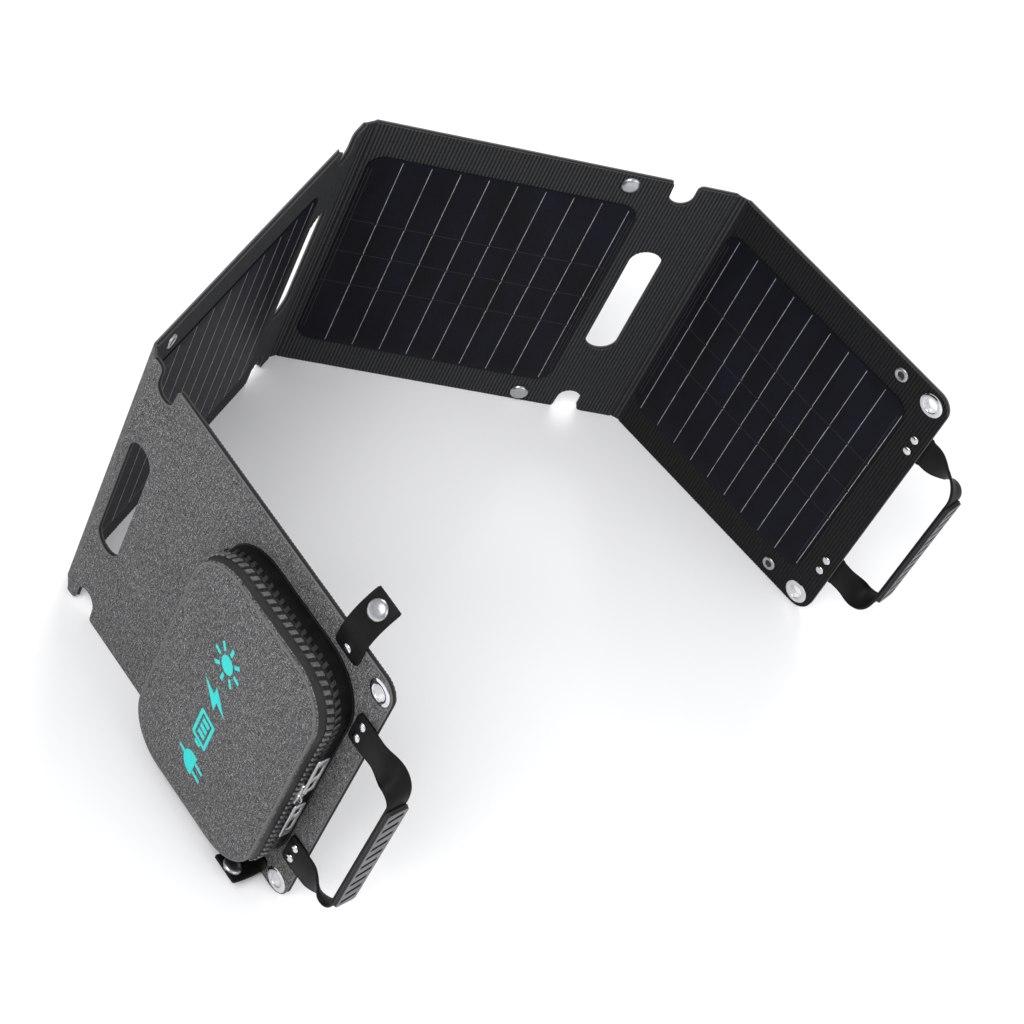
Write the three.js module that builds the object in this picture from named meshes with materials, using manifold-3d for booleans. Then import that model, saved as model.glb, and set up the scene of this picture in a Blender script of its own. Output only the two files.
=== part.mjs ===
// Solar suitcase kit: four stiff solar panels joined by double-crease fabric hinges, with a strap
// handle on each end, two snap straps, and a zipped pouch that holds the charge regulator.
// It stands on its long edges in an open C. Millimetres, +Z up, every fold line upright.

import * as THREE from 'three';
import { mergeVertices } from 'three/addons/utils/BufferGeometryUtils.js';
import Module from 'manifold-3d';

const wasm = await Module();
wasm.setup();

// ---------------------------------------------------------------- driving dimensions

const HEIGHT = 260;              // panel size along the fold lines
const MIDDLE = HEIGHT / 2;
const GAP = 0.3;                 // air kept between touching pieces
const BARE = 1.1;                // bare length left each side of a strap's crease
const ARC_STEPS = 5;             // steps of a quarter turn in an outline
const RING_STEPS = 18;           // facets round a turned fitting

// Distance between fold corners, and the bend of each fold towards the cells, in degrees.
const LENGTH = { one: 272.5, two: 271.2, three: 273.3, four: 211.2 };
const BEND = { oneTwo: 66.3, twoThree: 58.5, threeFour: 48.1 };

// The layers of a panel, as [low, high] across its thickness. The cells look towards -Y.
const BACK = [1.0, 2.2];
const BOARD = [-0.55, 0.7];
const FRONT = [-1.85, -0.85];
const LAMINATE = [-2.65, -2.15];

const STRIP_WIDTH = 8;           // fabric strip between the two creases of one fold
const STRIP_HALF = 0.8;
const CREASE_MARGIN = 1.3;       // bare sheet between a cover's edge and the crease
const FREE_CORNER = 14;
const FOLD_CORNER = 3;

const SLOT = { radius: 12, low: 73, high: 187 };
const NOTCH = { half: 9, lip: 13, lipDepth: 5, depth: 21 };
const CUTOUT_AT = { one: 248.5, two: 242.5, three: 230.6 };   // slot and notches, along the panel

const CELLS = { low: 27.5, high: 230, corner: 13 };
const CELLS_SPAN = { one: [26, 225], two: [11, 219], three: [10, 207], four: [5.8, 186.5] };

const GROMMET = { inset: 12.5, bore: 5.4, neck: 7.6, flange: 9.5, thick: 0.9 };
const RIVET = { shank: 1.7, hole: 2.2, head: 3.3, thick: 1.1, pitch: 12.5, inset: 9 };
const TAB = { half: 14, inner: 15.5, thick: 2 };
const HANDLE = { arm: 76, crease: 2.5, straight: 20, corner: 15, gripHalf: 8, gripPad: 3 };
const SNAP_RING = { outer: 5.6, bore: 1.9, thick: 0.9, edge: 12 };
const SNAP_CAP = { radius: 7, thick: 2.3 };

const STRAP = { at: 44, half: 11.6, thick: 2, root: 15.5, crease: 1.8, length: 35 };
const LOWER_STRAP = { at: 33.5, crease: 7, rootHigh: 16.9, rivet: 13, length: 26 };

const POUCH = { near: 18.5, far: 152.5, low: 17.5, high: 236.5, corner: 38, wall: 2, height: 29 };
const ZIP = { proud: 0.8, seam: 15.35, band: 1.9 };
const SLIDER = { thick: 3.4, wide: 6.4, long: 10, apart: 5.6 };
const PULL = { long: 38, wide: 9, thick: 1.2 };
const REGULATOR = { near: 104, far: 146, low: 82, high: 178, floor: 2.2, split: 8.6, top: 12.2 };

const radians = THREE.MathUtils.degToRad;

// ---------------------------------------------------------------- materials

const material = (color, roughness, metalness = 0) =>
  new THREE.MeshStandardMaterial({ color, roughness, metalness });

const greyFabric = material(0x4c4c4e, 0.95);
const blackFabric = material(0x222324, 0.8);
const cellGlass = material(0x1b1c24, 0.25);
const blackBoard = material(0x2a2a2a, 0.7);
const blackStrap = material(0x202020, 0.6);
const gripRubber = material(0x5c5c5e, 0.6);
const chrome = material(0xd0d2d4, 0.2, 1);
const zipPlastic = material(0x161616, 0.5);
const casePlastic = material(0x303234, 0.55);

// ---------------------------------------------------------------- building blocks

function piece(parent, name, geometry, finish) {
  const mesh = new THREE.Mesh(geometry, finish);
  mesh.name = name;
  parent.add(mesh);
}

// Turns an outline in the panel's own plane (along, up) into a plate between two depths.
function plate(outline, [low, high]) {
  const geometry = new THREE.ExtrudeGeometry(outline, {
    depth: high - low,
    bevelEnabled: false,
    curveSegments: ARC_STEPS,
  });
  geometry.rotateX(Math.PI / 2);
  geometry.translate(0, high, 0);
  return geometry;
}

function rectangle(left, right, low, high) {
  const shape = new THREE.Shape();
  shape.moveTo(left, low);
  shape.lineTo(right, low);
  shape.lineTo(right, high);
  shape.lineTo(left, high);
  shape.closePath();
  return shape;
}

function roundedRectangle(left, right, low, high, radius, Path = THREE.Shape) {
  const shape = new Path();
  shape.absarc(left + radius, low + radius, radius, Math.PI, 1.5 * Math.PI);
  shape.absarc(right - radius, low + radius, radius, 1.5 * Math.PI, 2 * Math.PI);
  shape.absarc(right - radius, high - radius, radius, 0, 0.5 * Math.PI);
  shape.absarc(left + radius, high - radius, radius, 0.5 * Math.PI, Math.PI);
  shape.closePath();
  return shape;
}

// A round hole with few sides, drawn clockwise as holes are.
function roundHole(along, up, radius, sides = 12) {
  const hole = new THREE.Path();
  for (let i = 0; i < sides; i += 1) {
    const angle = (-2 * Math.PI * i) / sides;
    const x = along + radius * Math.cos(angle);
    const y = up + radius * Math.sin(angle);
    if (i === 0) hole.moveTo(x, y);
    else hole.lineTo(x, y);
  }
  hole.closePath();
  return hole;
}

// The long carrying slot, with round ends.
function slotHole(along) {
  const hole = new THREE.Path();
  hole.absarc(along, SLOT.high - SLOT.radius, SLOT.radius, 0, Math.PI);
  hole.absarc(along, SLOT.low + SLOT.radius, SLOT.radius, Math.PI, 2 * Math.PI);
  hole.closePath();
  return hole;
}

// One cover of a panel: square at its folds, round at a free end, notched above and below the slot.
function coverOutline({ start, end, startCorner, endCorner, cutout, holes }) {
  const shape = new THREE.Shape();
  const { half, lip, lipDepth, depth } = NOTCH;
  shape.absarc(start + startCorner, startCorner, startCorner, Math.PI, 1.5 * Math.PI);
  if (cutout) {
    shape.lineTo(cutout - lip, 0);
    shape.lineTo(cutout - half - 1, lipDepth / 2);
    shape.lineTo(cutout - half, lipDepth);
    shape.absarc(cutout, depth - half, half, Math.PI, 0, true);
    shape.lineTo(cutout + half, lipDepth);
    shape.lineTo(cutout + half + 1, lipDepth / 2);
    shape.lineTo(cutout + lip, 0);
  }
  shape.absarc(end - endCorner, endCorner, endCorner, 1.5 * Math.PI, 2 * Math.PI);
  shape.absarc(end - endCorner, HEIGHT - endCorner, endCorner, 0, 0.5 * Math.PI);
  if (cutout) {
    shape.lineTo(cutout + lip, HEIGHT);
    shape.lineTo(cutout + half + 1, HEIGHT - lipDepth / 2);
    shape.lineTo(cutout + half, HEIGHT - lipDepth);
    shape.absarc(cutout, HEIGHT - depth + half, half, 0, -Math.PI, true);
    shape.lineTo(cutout - half, HEIGHT - lipDepth);
    shape.lineTo(cutout - half - 1, HEIGHT - lipDepth / 2);
    shape.lineTo(cutout - lip, HEIGHT);
  }
  shape.absarc(start + startCorner, HEIGHT - startCorner, startCorner, 0.5 * Math.PI, Math.PI);
  shape.closePath();
  if (cutout) shape.holes.push(slotHole(cutout));
  shape.holes.push(...holes);
  return shape;
}

// A fitting turned about an axis that crosses the panel. The profile lists [radius, depth] pairs.
function turned(profile, along, up, steps = RING_STEPS) {
  const points = profile.map(([radius, depth]) => new THREE.Vector2(radius, depth));
  const geometry = new THREE.LatheGeometry(points, steps);
  geometry.translate(along, 0, up);
  return geometry;
}

// A flat strap swept through stations, each with a centre, a width direction and a half width.
function ribbon(stations, thickness) {
  const positions = [];
  const indices = [];
  stations.forEach(({ centre, across, half }, i) => {
    const before = stations[Math.max(i - 1, 0)].centre;
    const after = stations[Math.min(i + 1, stations.length - 1)].centre;
    const forward = after.clone().sub(before).normalize();
    const normal = forward.clone().cross(across).normalize().multiplyScalar(thickness / 2);
    for (const [side, face] of [[-1, -1], [1, -1], [1, 1], [-1, 1]]) {
      const corner = centre.clone().addScaledVector(across, side * half).addScaledVector(normal, face);
      positions.push(corner.x, corner.y, corner.z);
    }
  });
  const last = 4 * (stations.length - 1);
  for (let ring = 0; ring < last; ring += 4) {
    for (let k = 0; k < 4; k += 1) {
      const a = ring + k;
      const b = ring + ((k + 1) % 4);
      indices.push(a, b, b + 4, a, b + 4, a + 4);
    }
  }
  indices.push(0, 2, 1, 0, 3, 2);
  indices.push(last, last + 1, last + 2, last, last + 2, last + 3);
  const geometry = new THREE.BufferGeometry();
  geometry.setAttribute('position', new THREE.Float32BufferAttribute(positions, 3));
  geometry.setIndex(indices);
  return geometry;
}

function toSolid(geometry) {
  const bare = geometry.clone();
  bare.deleteAttribute('normal');
  bare.deleteAttribute('uv');
  const merged = mergeVertices(bare, 1e-4);
  return new wasm.Manifold(new wasm.Mesh({
    numProp: 3,
    vertProperties: new Float32Array(merged.attributes.position.array),
    triVerts: new Uint32Array(merged.index.array),
  }));
}

function union(geometries) {
  const solid = geometries.map(toSolid).reduce((sum, next) => sum.add(next));
  const mesh = solid.getMesh();
  const geometry = new THREE.BufferGeometry();
  geometry.setAttribute('position', new THREE.BufferAttribute(mesh.vertProperties, 3));
  geometry.setIndex(new THREE.BufferAttribute(mesh.triVerts, 1));
  return geometry;
}

// ---------------------------------------------------------------- fittings

// A solid rivet from its front head to its back head.
function rivet(along, up, front, back) {
  const { shank, head, thick } = RIVET;
  return turned([
    [0, front - thick], [head * 0.7, front - thick], [head, front - thick * 0.4], [head, front],
    [shank, front], [shank, back], [head, back], [head, back + thick * 0.4],
    [head * 0.7, back + thick], [0, back + thick],
  ], along, up, 12);
}

// Two rivets with the bar that joins them inside the panel.
function rivetPair(along, up, front, back) {
  const offset = RIVET.pitch / 2;
  const bar = plate(rectangle(along - 1, along + 1, up - offset, up + offset), [-0.4, 0.5]);
  return union([
    bar,
    rivet(along, up - offset, front, back),
    rivet(along, up + offset, front, back),
  ]);
}

// An eyelet: a neck through the panel with a rolled flange on each face.
function grommet(along, up) {
  const front = FRONT[0] - GAP;
  const back = BACK[1] + GAP;
  const { bore, neck, flange, thick } = GROMMET;
  return turned([
    [bore, front - thick * 0.5], [bore + 1, front - thick], [flange - 1, front - thick],
    [flange, front], [neck, front], [neck, back], [flange, back],
    [flange - 1, back + thick], [bore + 1, back + thick], [bore, back + thick * 0.5],
    [bore, front - thick * 0.5],
  ], along, up);
}

// A snap socket seen as a flat ring on the front cover.
function snapRing(along, up) {
  const high = FRONT[0] - GAP;
  const low = high - SNAP_RING.thick;
  const { outer, bore } = SNAP_RING;
  return turned([
    [bore, low], [outer - 0.6, low], [outer, low + 0.4], [outer, high], [bore, high], [bore, low],
  ], along, up);
}

// A domed snap cap standing on a face that looks towards -Y.
function snapCap(along, up, base) {
  const { radius, thick } = SNAP_CAP;
  return turned([
    [0, base - thick], [radius * 0.45, base - thick * 0.92], [radius * 0.8, base - thick * 0.6],
    [radius, base - 0.5], [radius, base], [0, base],
  ], along, up);
}

// ---------------------------------------------------------------- panels

// The four layers of a panel. `start` and `end` are its creases or its free end.
function panelLayers(group, label, { start, end, free, cutout, cells, holes = [] }) {
  const left = free === 'start' ? start : start + CREASE_MARGIN;
  const right = free === 'end' ? end : end - CREASE_MARGIN;
  const outline = coverOutline({
    start: left,
    end: right,
    startCorner: free === 'start' ? FREE_CORNER : FOLD_CORNER,
    endCorner: free === 'end' ? FREE_CORNER : FOLD_CORNER,
    cutout,
    holes,
  });
  const glass = roundedRectangle(cells[0], cells[1], CELLS.low, CELLS.high, CELLS.corner);
  const boardStart = free === 'start' ? cells[0] + 12 : left + 5;
  const board = rectangle(boardStart, cells[1] + 1, 20, HEIGHT - 20);
  piece(group, `${label}_back_cover`, plate(outline, BACK), greyFabric);
  piece(group, `${label}_stiffener_board`, plate(board, BOARD), blackBoard);
  piece(group, `${label}_front_cover`, plate(outline, FRONT), blackFabric);
  piece(group, `${label}_cell_laminate`, plate(glass, LAMINATE), cellGlass);
}

// The fabric strip of one fold, running from its crease at 0 to its crease at `width`.
function foldStrip(group, name, width) {
  const low = Math.min(0, width) + GAP / 2;
  const high = Math.max(0, width) - GAP / 2;
  piece(group, name, plate(rectangle(low, high, 0, HEIGHT), [-STRIP_HALF, STRIP_HALF]), blackFabric);
}

// A group turned about +Z, placed in its parent's plan.
function turnedGroup(parent, name, x, y, degrees) {
  const group = new THREE.Group();
  group.name = name;
  group.position.set(x, y, 0);
  group.rotation.z = radians(degrees);
  parent.add(group);
  return group;
}

function shiftedGroup(parent, x) {
  return turnedGroup(parent, '', x, 0, 0);
}

// How far a crease lies from its fold's corner.
const creaseOffset = (bend) => STRIP_WIDTH / (2 * Math.cos(radians(bend / 2)));

const rivetHoles = (along, up) => [
  roundHole(along, up - RIVET.pitch / 2, RIVET.hole, 8),
  roundHole(along, up + RIVET.pitch / 2, RIVET.hole, 8),
];

const armHeights = [MIDDLE + HANDLE.arm, MIDDLE - HANDLE.arm];
const grommetHeights = [HEIGHT - GROMMET.inset, GROMMET.inset];
const ENDS = ['top', 'bottom'];

// ---------------------------------------------------------------- handles

// The riveted tabs, and beyond the crease the loop with its grip. `sign` is +1 where the handle
// points along +X and -1 where it points along -X; `edge` is the panel's free end.
function handle(group, label, edge, sign) {
  const strapMiddle = BACK[1] + GAP + TAB.thick / 2;
  const strapDepth = [strapMiddle - TAB.thick / 2, strapMiddle + TAB.thick / 2];
  const rivetAt = edge - sign * RIVET.inset;

  armHeights.forEach((up, i) => {
    const inner = edge - sign * TAB.inner;
    const outer = edge + sign * (HANDLE.crease - BARE);
    const tab = rectangle(Math.min(inner, outer), Math.max(inner, outer), up - TAB.half, up + TAB.half);
    tab.holes.push(...rivetHoles(rivetAt, up));
    piece(group, `${label}_tab_${ENDS[i]}`, plate(tab, strapDepth), blackStrap);
    const rivets = rivetPair(rivetAt, up, FRONT[0] - GAP, strapDepth[1] + GAP);
    piece(group, `${label}_rivets_${ENDS[i]}`, rivets, chrome);
  });

  const swing = turnedGroup(group, `${label}_swing`, edge + sign * HANDLE.crease, strapMiddle, 0);
  piece(swing, `${label}_loop`, handleLoop(sign), blackStrap);
  piece(swing, `${label}_grip`, handleGrip(sign), gripRubber);
}

// The loop leaves the panel flat, turns a corner while it twists on edge, and runs down the grip.
function handleLoop(sign) {
  const stations = [];
  const { straight, corner, arm, gripHalf } = HANDLE;
  const armLength = straight + corner * Math.PI / 2;
  const add = (out, up, turn, travelled) => {
    const share = travelled / armLength;
    const twist = (Math.PI / 2) * THREE.MathUtils.smoothstep(share, 0.12, 1);
    const narrowed = THREE.MathUtils.smoothstep(share, 0, 1);
    const across = new THREE.Vector3(
      sign * Math.sin(turn) * Math.cos(twist),
      -Math.sin(twist),
      Math.cos(turn) * Math.cos(twist),
    );
    stations.push({
      centre: new THREE.Vector3(sign * out, 0, up),
      across,
      half: THREE.MathUtils.lerp(TAB.half - 1, gripHalf, narrowed),
    });
  };

  const straightSteps = 6;
  for (let i = 0; i <= straightSteps; i += 1) {
    const out = THREE.MathUtils.lerp(BARE, straight, i / straightSteps);
    add(out, MIDDLE + arm, 0, out);
  }
  const cornerSteps = 8;
  for (let i = 1; i <= cornerSteps; i += 1) {
    const turn = (Math.PI / 2) * (i / cornerSteps);
    const out = straight + corner * Math.sin(turn);
    const up = MIDDLE + arm - corner * (1 - Math.cos(turn));
    add(out, up, turn, straight + corner * turn);
  }
  const mirrored = stations.slice().reverse().map(({ centre, across, half }) => ({
    centre: new THREE.Vector3(centre.x, centre.y, HEIGHT - centre.z),
    across: new THREE.Vector3(across.x, across.y, -across.z),
    half,
  }));
  return ribbon([...stations, ...mirrored], TAB.thick);
}

// The grip pad lies on the loop's outer face.
function handleGrip(sign) {
  const { straight, corner, arm, gripHalf, gripPad } = HANDLE;
  const halfLength = arm - corner - 2;
  const outline = new THREE.Shape();
  const radius = 3;
  const half = gripHalf + 0.6;
  outline.absarc(-half + radius, MIDDLE - halfLength + radius, radius, Math.PI, 1.5 * Math.PI);
  outline.absarc(half - radius, MIDDLE - halfLength + radius, radius, 1.5 * Math.PI, 2 * Math.PI);
  outline.absarc(half - radius, MIDDLE + halfLength - radius, radius, 0, 0.5 * Math.PI);
  outline.absarc(-half + radius, MIDDLE + halfLength - radius, radius, 0.5 * Math.PI, Math.PI);
  outline.closePath();
  const geometry = plate(outline, [0, gripPad]);
  geometry.rotateZ(-sign * Math.PI / 2);
  geometry.translate(sign * (straight + corner + TAB.thick / 2 + GAP), 0, 0);
  return geometry;
}

// ---------------------------------------------------------------- snap straps

// A strap's free flap, curving from one lean to another. Leans are measured from straight up
// towards -Y, in degrees.
function strapFlap(length, leanStart, leanEnd) {
  const stations = [];
  const steps = 7;
  const point = new THREE.Vector3(0, 0, 0);
  const across = new THREE.Vector3(1, 0, 0);
  const stepLength = (length - BARE) / steps;
  const first = radians(leanStart);
  point.set(0, -BARE * Math.sin(first), BARE * Math.cos(first));
  for (let i = 0; i <= steps; i += 1) {
    stations.push({ centre: point.clone(), across, half: STRAP.half - 0.4 });
    const lean = radians(THREE.MathUtils.lerp(leanStart, leanEnd, (i + 0.5) / steps));
    point.y -= stepLength * Math.sin(lean);
    point.z += stepLength * Math.cos(lean);
  }
  return { geometry: ribbon(stations, STRAP.thick), stations };
}

// The snap cap sits on one face of the flap, square to the strap at that station. `side` is +1
// for the face on the left of the flap's direction seen from +X, and -1 for the other. The flap
// is curved, so a cap on its hollow side needs more clearance under its flat base.
function capOnFlap(stations, index, side, clearance) {
  const forward = stations[index + 1].centre.clone().sub(stations[index - 1].centre).normalize();
  const outward = new THREE.Vector3(0, forward.z, -forward.y).multiplyScalar(side);
  const cap = snapCap(0, 0, 0);
  const frame = new THREE.Matrix4().makeBasis(
    new THREE.Vector3(1, 0, 0),
    outward.clone().negate(),
    new THREE.Vector3(1, 0, 0).cross(outward.clone().negate()),
  );
  cap.applyMatrix4(frame);
  const lift = outward.clone().multiplyScalar(STRAP.thick / 2 + clearance);
  cap.translate(...stations[index].centre.clone().add(lift).toArray());
  return cap;
}

function snapStrap(group, label, { at, rootLow, rootHigh, rivetAt, creaseAt, flap }) {
  const middle = BACK[1] + GAP + STRAP.thick / 2;
  const depth = [middle - STRAP.thick / 2, middle + STRAP.thick / 2];
  const root = rectangle(at - STRAP.half, at + STRAP.half, rootLow, rootHigh);
  root.holes.push(roundHole(at, rivetAt, RIVET.hole, 8));
  piece(group, `${label}_root`, plate(root, depth), blackStrap);
  piece(group, `${label}_rivet`, rivet(at, rivetAt, FRONT[0] - GAP, depth[1] + GAP), chrome);

  const swing = turnedGroup(group, `${label}_swing`, at, middle, 0);
  swing.position.z = creaseAt;
  const { geometry, stations } = strapFlap(flap.length, flap.leanStart, flap.leanEnd);
  piece(swing, `${label}_flap`, geometry, blackStrap);
  const cap = capOnFlap(stations, stations.length - 3, flap.capSide, flap.capClearance);
  piece(swing, `${label}_snap_cap`, cap, chrome);
}

// ---------------------------------------------------------------- pouch

const pouchFloor = BACK[1] + GAP;

const pouchOutline = (grow, Path) => roundedRectangle(
  POUCH.near - grow, POUCH.far + grow, POUCH.low - grow, POUCH.high + grow,
  POUCH.corner + grow, Path,
);

// A tray of the pouch: an outer wall with one closed face, open on the other side.
function tray(floorDepth, wallDepth) {
  const skin = 1.4;
  const closedBelow = floorDepth < wallDepth;
  const inner = closedBelow ? floorDepth + skin : floorDepth - skin;
  const order = (a, b) => [Math.min(a, b), Math.max(a, b)];
  const wall = pouchOutline(0);
  wall.holes.push(pouchOutline(-POUCH.wall, THREE.Path));
  const overlap = closedBelow ? inner - 0.4 : inner + 0.4;
  return union([
    plate(pouchOutline(0), order(floorDepth, inner)),
    plate(wall, order(overlap, wallDepth)),
  ]);
}

function zipBand(depth) {
  const band = pouchOutline(ZIP.proud);
  band.holes.push(pouchOutline(-POUCH.wall, THREE.Path));
  return plate(band, depth);
}

// One zip slider with the bail that its pull hangs from.
function sliderBody(outerFace) {
  const half = SLIDER.long / 2;
  const body = new THREE.BoxGeometry(SLIDER.thick, SLIDER.wide, SLIDER.long);
  body.translate(outerFace - SLIDER.thick / 2, 0, 0);
  const bail = new THREE.BoxGeometry(1.6, 2.4, half);
  bail.translate(outerFace - SLIDER.thick - 0.7, 0, 0);
  return union([body, bail]);
}

// The pull is a plate with two windows, lying along the zip. `way` is the end it points to.
function pullPlate(way) {
  const start = 3.4;
  const end = start + PULL.long;
  const outline = rectangle(-PULL.wide / 2, PULL.wide / 2, start, end);
  for (const [low, high] of [[start + 4, start + 13], [start + 19, start + 31]]) {
    const hole = new THREE.Path();
    hole.moveTo(-2.6, low);
    hole.lineTo(-2.6, high);
    hole.lineTo(2.6, high);
    hole.lineTo(2.6, low);
    hole.closePath();
    outline.holes.push(hole);
  }
  const geometry = plate(outline, [-PULL.thick / 2, PULL.thick / 2]);
  geometry.rotateZ(Math.PI / 2);
  if (way < 0) geometry.rotateY(Math.PI);
  return geometry;
}

function zipSliders(group) {
  const outerFace = POUCH.near - ZIP.proud - 0.4;
  const depth = pouchFloor + ZIP.seam;
  [1, -1].forEach((way, i) => {
    const slide = turnedGroup(group, `zip_slider_${i + 1}_slide`, 0, depth, 0);
    slide.position.z = MIDDLE + way * SLIDER.apart;
    piece(slide, `zip_slider_${i + 1}`, sliderBody(outerFace), chrome);
    const bailFace = outerFace - SLIDER.thick - 0.9;
    const swing = turnedGroup(slide, `zip_pull_${i + 1}_swing`, bailFace, 0, 0);
    piece(swing, `zip_pull_${i + 1}`, pullPlate(way), chrome);
  });
}

function regulator(group) {
  const { near, far, low, high, floor, split, top } = REGULATOR;
  const across = (a, b) => [pouchFloor + a, pouchFloor + b];
  const lower = roundedRectangle(near, far, low, high, 5);
  piece(group, 'regulator_case', plate(lower, across(floor, split)), casePlastic);
  const upper = roundedRectangle(near, far, low, high, 5);
  piece(group, 'regulator_cover', plate(upper, across(split + GAP, top)), casePlastic);
  const ports = rectangle(near - 5, near - GAP, low + 18, high - 18);
  piece(group, 'regulator_ports', plate(ports, across(floor + 0.6, split)), chrome);
}

function pouch(group) {
  const low = pouchFloor;
  const seam = low + ZIP.seam;
  const lowerBand = [seam - GAP / 2 - ZIP.band, seam - GAP / 2];
  const upperBand = [seam + GAP / 2, seam + GAP / 2 + ZIP.band];
  piece(group, 'pouch_base', tray(low, lowerBand[0] - GAP), greyFabric);
  piece(group, 'pouch_zip_lower', zipBand(lowerBand), zipPlastic);
  regulator(group);

  const hingeAlong = POUCH.far + ZIP.proud + 0.7;
  const swing = turnedGroup(group, 'pouch_lid_swing', hingeAlong, seam, 0);
  const lid = shiftedGroup(swing, -hingeAlong);
  lid.position.y = -seam;
  piece(lid, 'pouch_lid', tray(low + POUCH.height, upperBand[1] + GAP), greyFabric);
  piece(lid, 'pouch_zip_upper', zipBand(upperBand), zipPlastic);
  zipSliders(group);
}

// ---------------------------------------------------------------- the four panels

function panelThree(kit) {
  const group = turnedGroup(kit, 'panel_3', 0, 0, 0);
  panelLayers(group, 'panel_3', {
    start: creaseOffset(BEND.twoThree),
    end: LENGTH.three - creaseOffset(BEND.threeFour),
    cutout: CUTOUT_AT.three,
    cells: CELLS_SPAN.three,
  });
  const capAt = 191.5;
  const base = FRONT[0] - GAP;
  piece(group, 'panel_3_snap_cap_top', snapCap(capAt, HEIGHT - 9.5, base), chrome);
  piece(group, 'panel_3_snap_cap_bottom', snapCap(capAt, 9.5, base), chrome);
  return group;
}

function panelFour(group) {
  const edge = LENGTH.four;
  const grommetAt = edge - 14;
  const holes = grommetHeights.map((up) => roundHole(grommetAt, up, GROMMET.neck + GAP, 16));
  armHeights.forEach((up) => holes.push(...rivetHoles(edge - RIVET.inset, up)));
  panelLayers(group, 'panel_4', {
    start: creaseOffset(BEND.threeFour),
    end: edge,
    free: 'end',
    cells: CELLS_SPAN.four,
    holes,
  });
  const ringAt = 167.5;
  grommetHeights.forEach((up, i) => {
    piece(group, `panel_4_grommet_${ENDS[i]}`, grommet(grommetAt, up), chrome);
  });
  piece(group, 'panel_4_snap_ring_top', snapRing(ringAt, HEIGHT - SNAP_RING.edge), chrome);
  piece(group, 'panel_4_snap_ring_bottom', snapRing(ringAt, SNAP_RING.edge), chrome);
  handle(group, 'handle_4', edge, 1);
}

function panelTwo(group) {
  panelLayers(group, 'panel_2', {
    start: creaseOffset(BEND.oneTwo),
    end: LENGTH.two - creaseOffset(BEND.twoThree),
    cutout: CUTOUT_AT.two,
    cells: CELLS_SPAN.two,
  });
  const ringAt = 24.5;
  piece(group, 'panel_2_snap_ring_top', snapRing(ringAt, HEIGHT - SNAP_RING.edge), chrome);
  piece(group, 'panel_2_snap_ring_bottom', snapRing(ringAt, SNAP_RING.edge), chrome);
}

function panelOne(group) {
  const grommetAt = 11;
  const upperRivet = HEIGHT - 10;
  const holes = grommetHeights.map((up) => roundHole(grommetAt, up, GROMMET.neck + GAP, 16));
  armHeights.forEach((up) => holes.push(...rivetHoles(RIVET.inset, up)));
  holes.push(roundHole(STRAP.at, upperRivet, RIVET.hole, 8));
  holes.push(roundHole(LOWER_STRAP.at, LOWER_STRAP.rivet, RIVET.hole, 8));
  panelLayers(group, 'panel_1', {
    start: 0,
    end: LENGTH.one - creaseOffset(BEND.oneTwo),
    free: 'start',
    cutout: CUTOUT_AT.one,
    cells: CELLS_SPAN.one,
    holes,
  });
  grommetHeights.forEach((up, i) => {
    piece(group, `panel_1_grommet_${ENDS[i]}`, grommet(grommetAt, up), chrome);
  });
  handle(group, 'handle_1', 0, -1);
  snapStrap(group, 'strap_top', {
    at: STRAP.at,
    rootLow: HEIGHT - STRAP.root,
    rootHigh: HEIGHT + STRAP.crease - BARE,
    rivetAt: upperRivet,
    creaseAt: HEIGHT + STRAP.crease,
    flap: { length: STRAP.length, leanStart: 10, leanEnd: 50, capSide: 1, capClearance: GAP },
  });
  snapStrap(group, 'strap_bottom', {
    at: LOWER_STRAP.at,
    rootLow: LOWER_STRAP.crease + STRAP.thick / 2 + GAP,
    rootHigh: LOWER_STRAP.rootHigh,
    rivetAt: LOWER_STRAP.rivet,
    creaseAt: LOWER_STRAP.crease,
    flap: { length: LOWER_STRAP.length, leanStart: 262, leanEnd: 298, capSide: -1, capClearance: 1.1 },
  });
  pouch(group);
}

// ---------------------------------------------------------------- assembly

function buildKit() {
  const kit = new THREE.Group();
  const three = panelThree(kit);

  const offset34 = creaseOffset(BEND.threeFour);
  const strip34 = turnedGroup(three, 'crease_34_a', LENGTH.three - offset34, 0, -BEND.threeFour / 2);
  foldStrip(strip34, 'fold_strip_34', STRIP_WIDTH);
  const crease34 = turnedGroup(strip34, 'crease_34_b', STRIP_WIDTH, 0, -BEND.threeFour / 2);
  panelFour(shiftedGroup(crease34, -offset34));

  const offset23 = creaseOffset(BEND.twoThree);
  const strip23 = turnedGroup(three, 'crease_23_a', offset23, 0, BEND.twoThree / 2);
  foldStrip(strip23, 'fold_strip_23', -STRIP_WIDTH);
  const crease23 = turnedGroup(strip23, 'crease_23_b', -STRIP_WIDTH, 0, BEND.twoThree / 2);
  const two = shiftedGroup(crease23, offset23 - LENGTH.two);
  panelTwo(two);

  const offset12 = creaseOffset(BEND.oneTwo);
  const strip12 = turnedGroup(two, 'crease_12_a', offset12, 0, BEND.oneTwo / 2);
  foldStrip(strip12, 'fold_strip_12', -STRIP_WIDTH);
  const crease12 = turnedGroup(strip12, 'crease_12_b', -STRIP_WIDTH, 0, BEND.oneTwo / 2);
  panelOne(shiftedGroup(crease12, offset12 - LENGTH.one));
  return kit;
}

// The kit stands centred over its own footprint.
const kit = buildKit();
kit.updateMatrixWorld(true);
const footprint = new THREE.Box3().setFromObject(kit, true).getCenter(new THREE.Vector3());
kit.position.set(-footprint.x, -footprint.y, 0);

export default kit;
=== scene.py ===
"""Solar suitcase kit: materials, soft goods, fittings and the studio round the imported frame.

Every shape is written in a panel's own frame, in millimetres: x runs along the panel from its
first fold, y points to the fabric back, z is up. A Matrix per panel puts it in the row frame.
"""

import math

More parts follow.
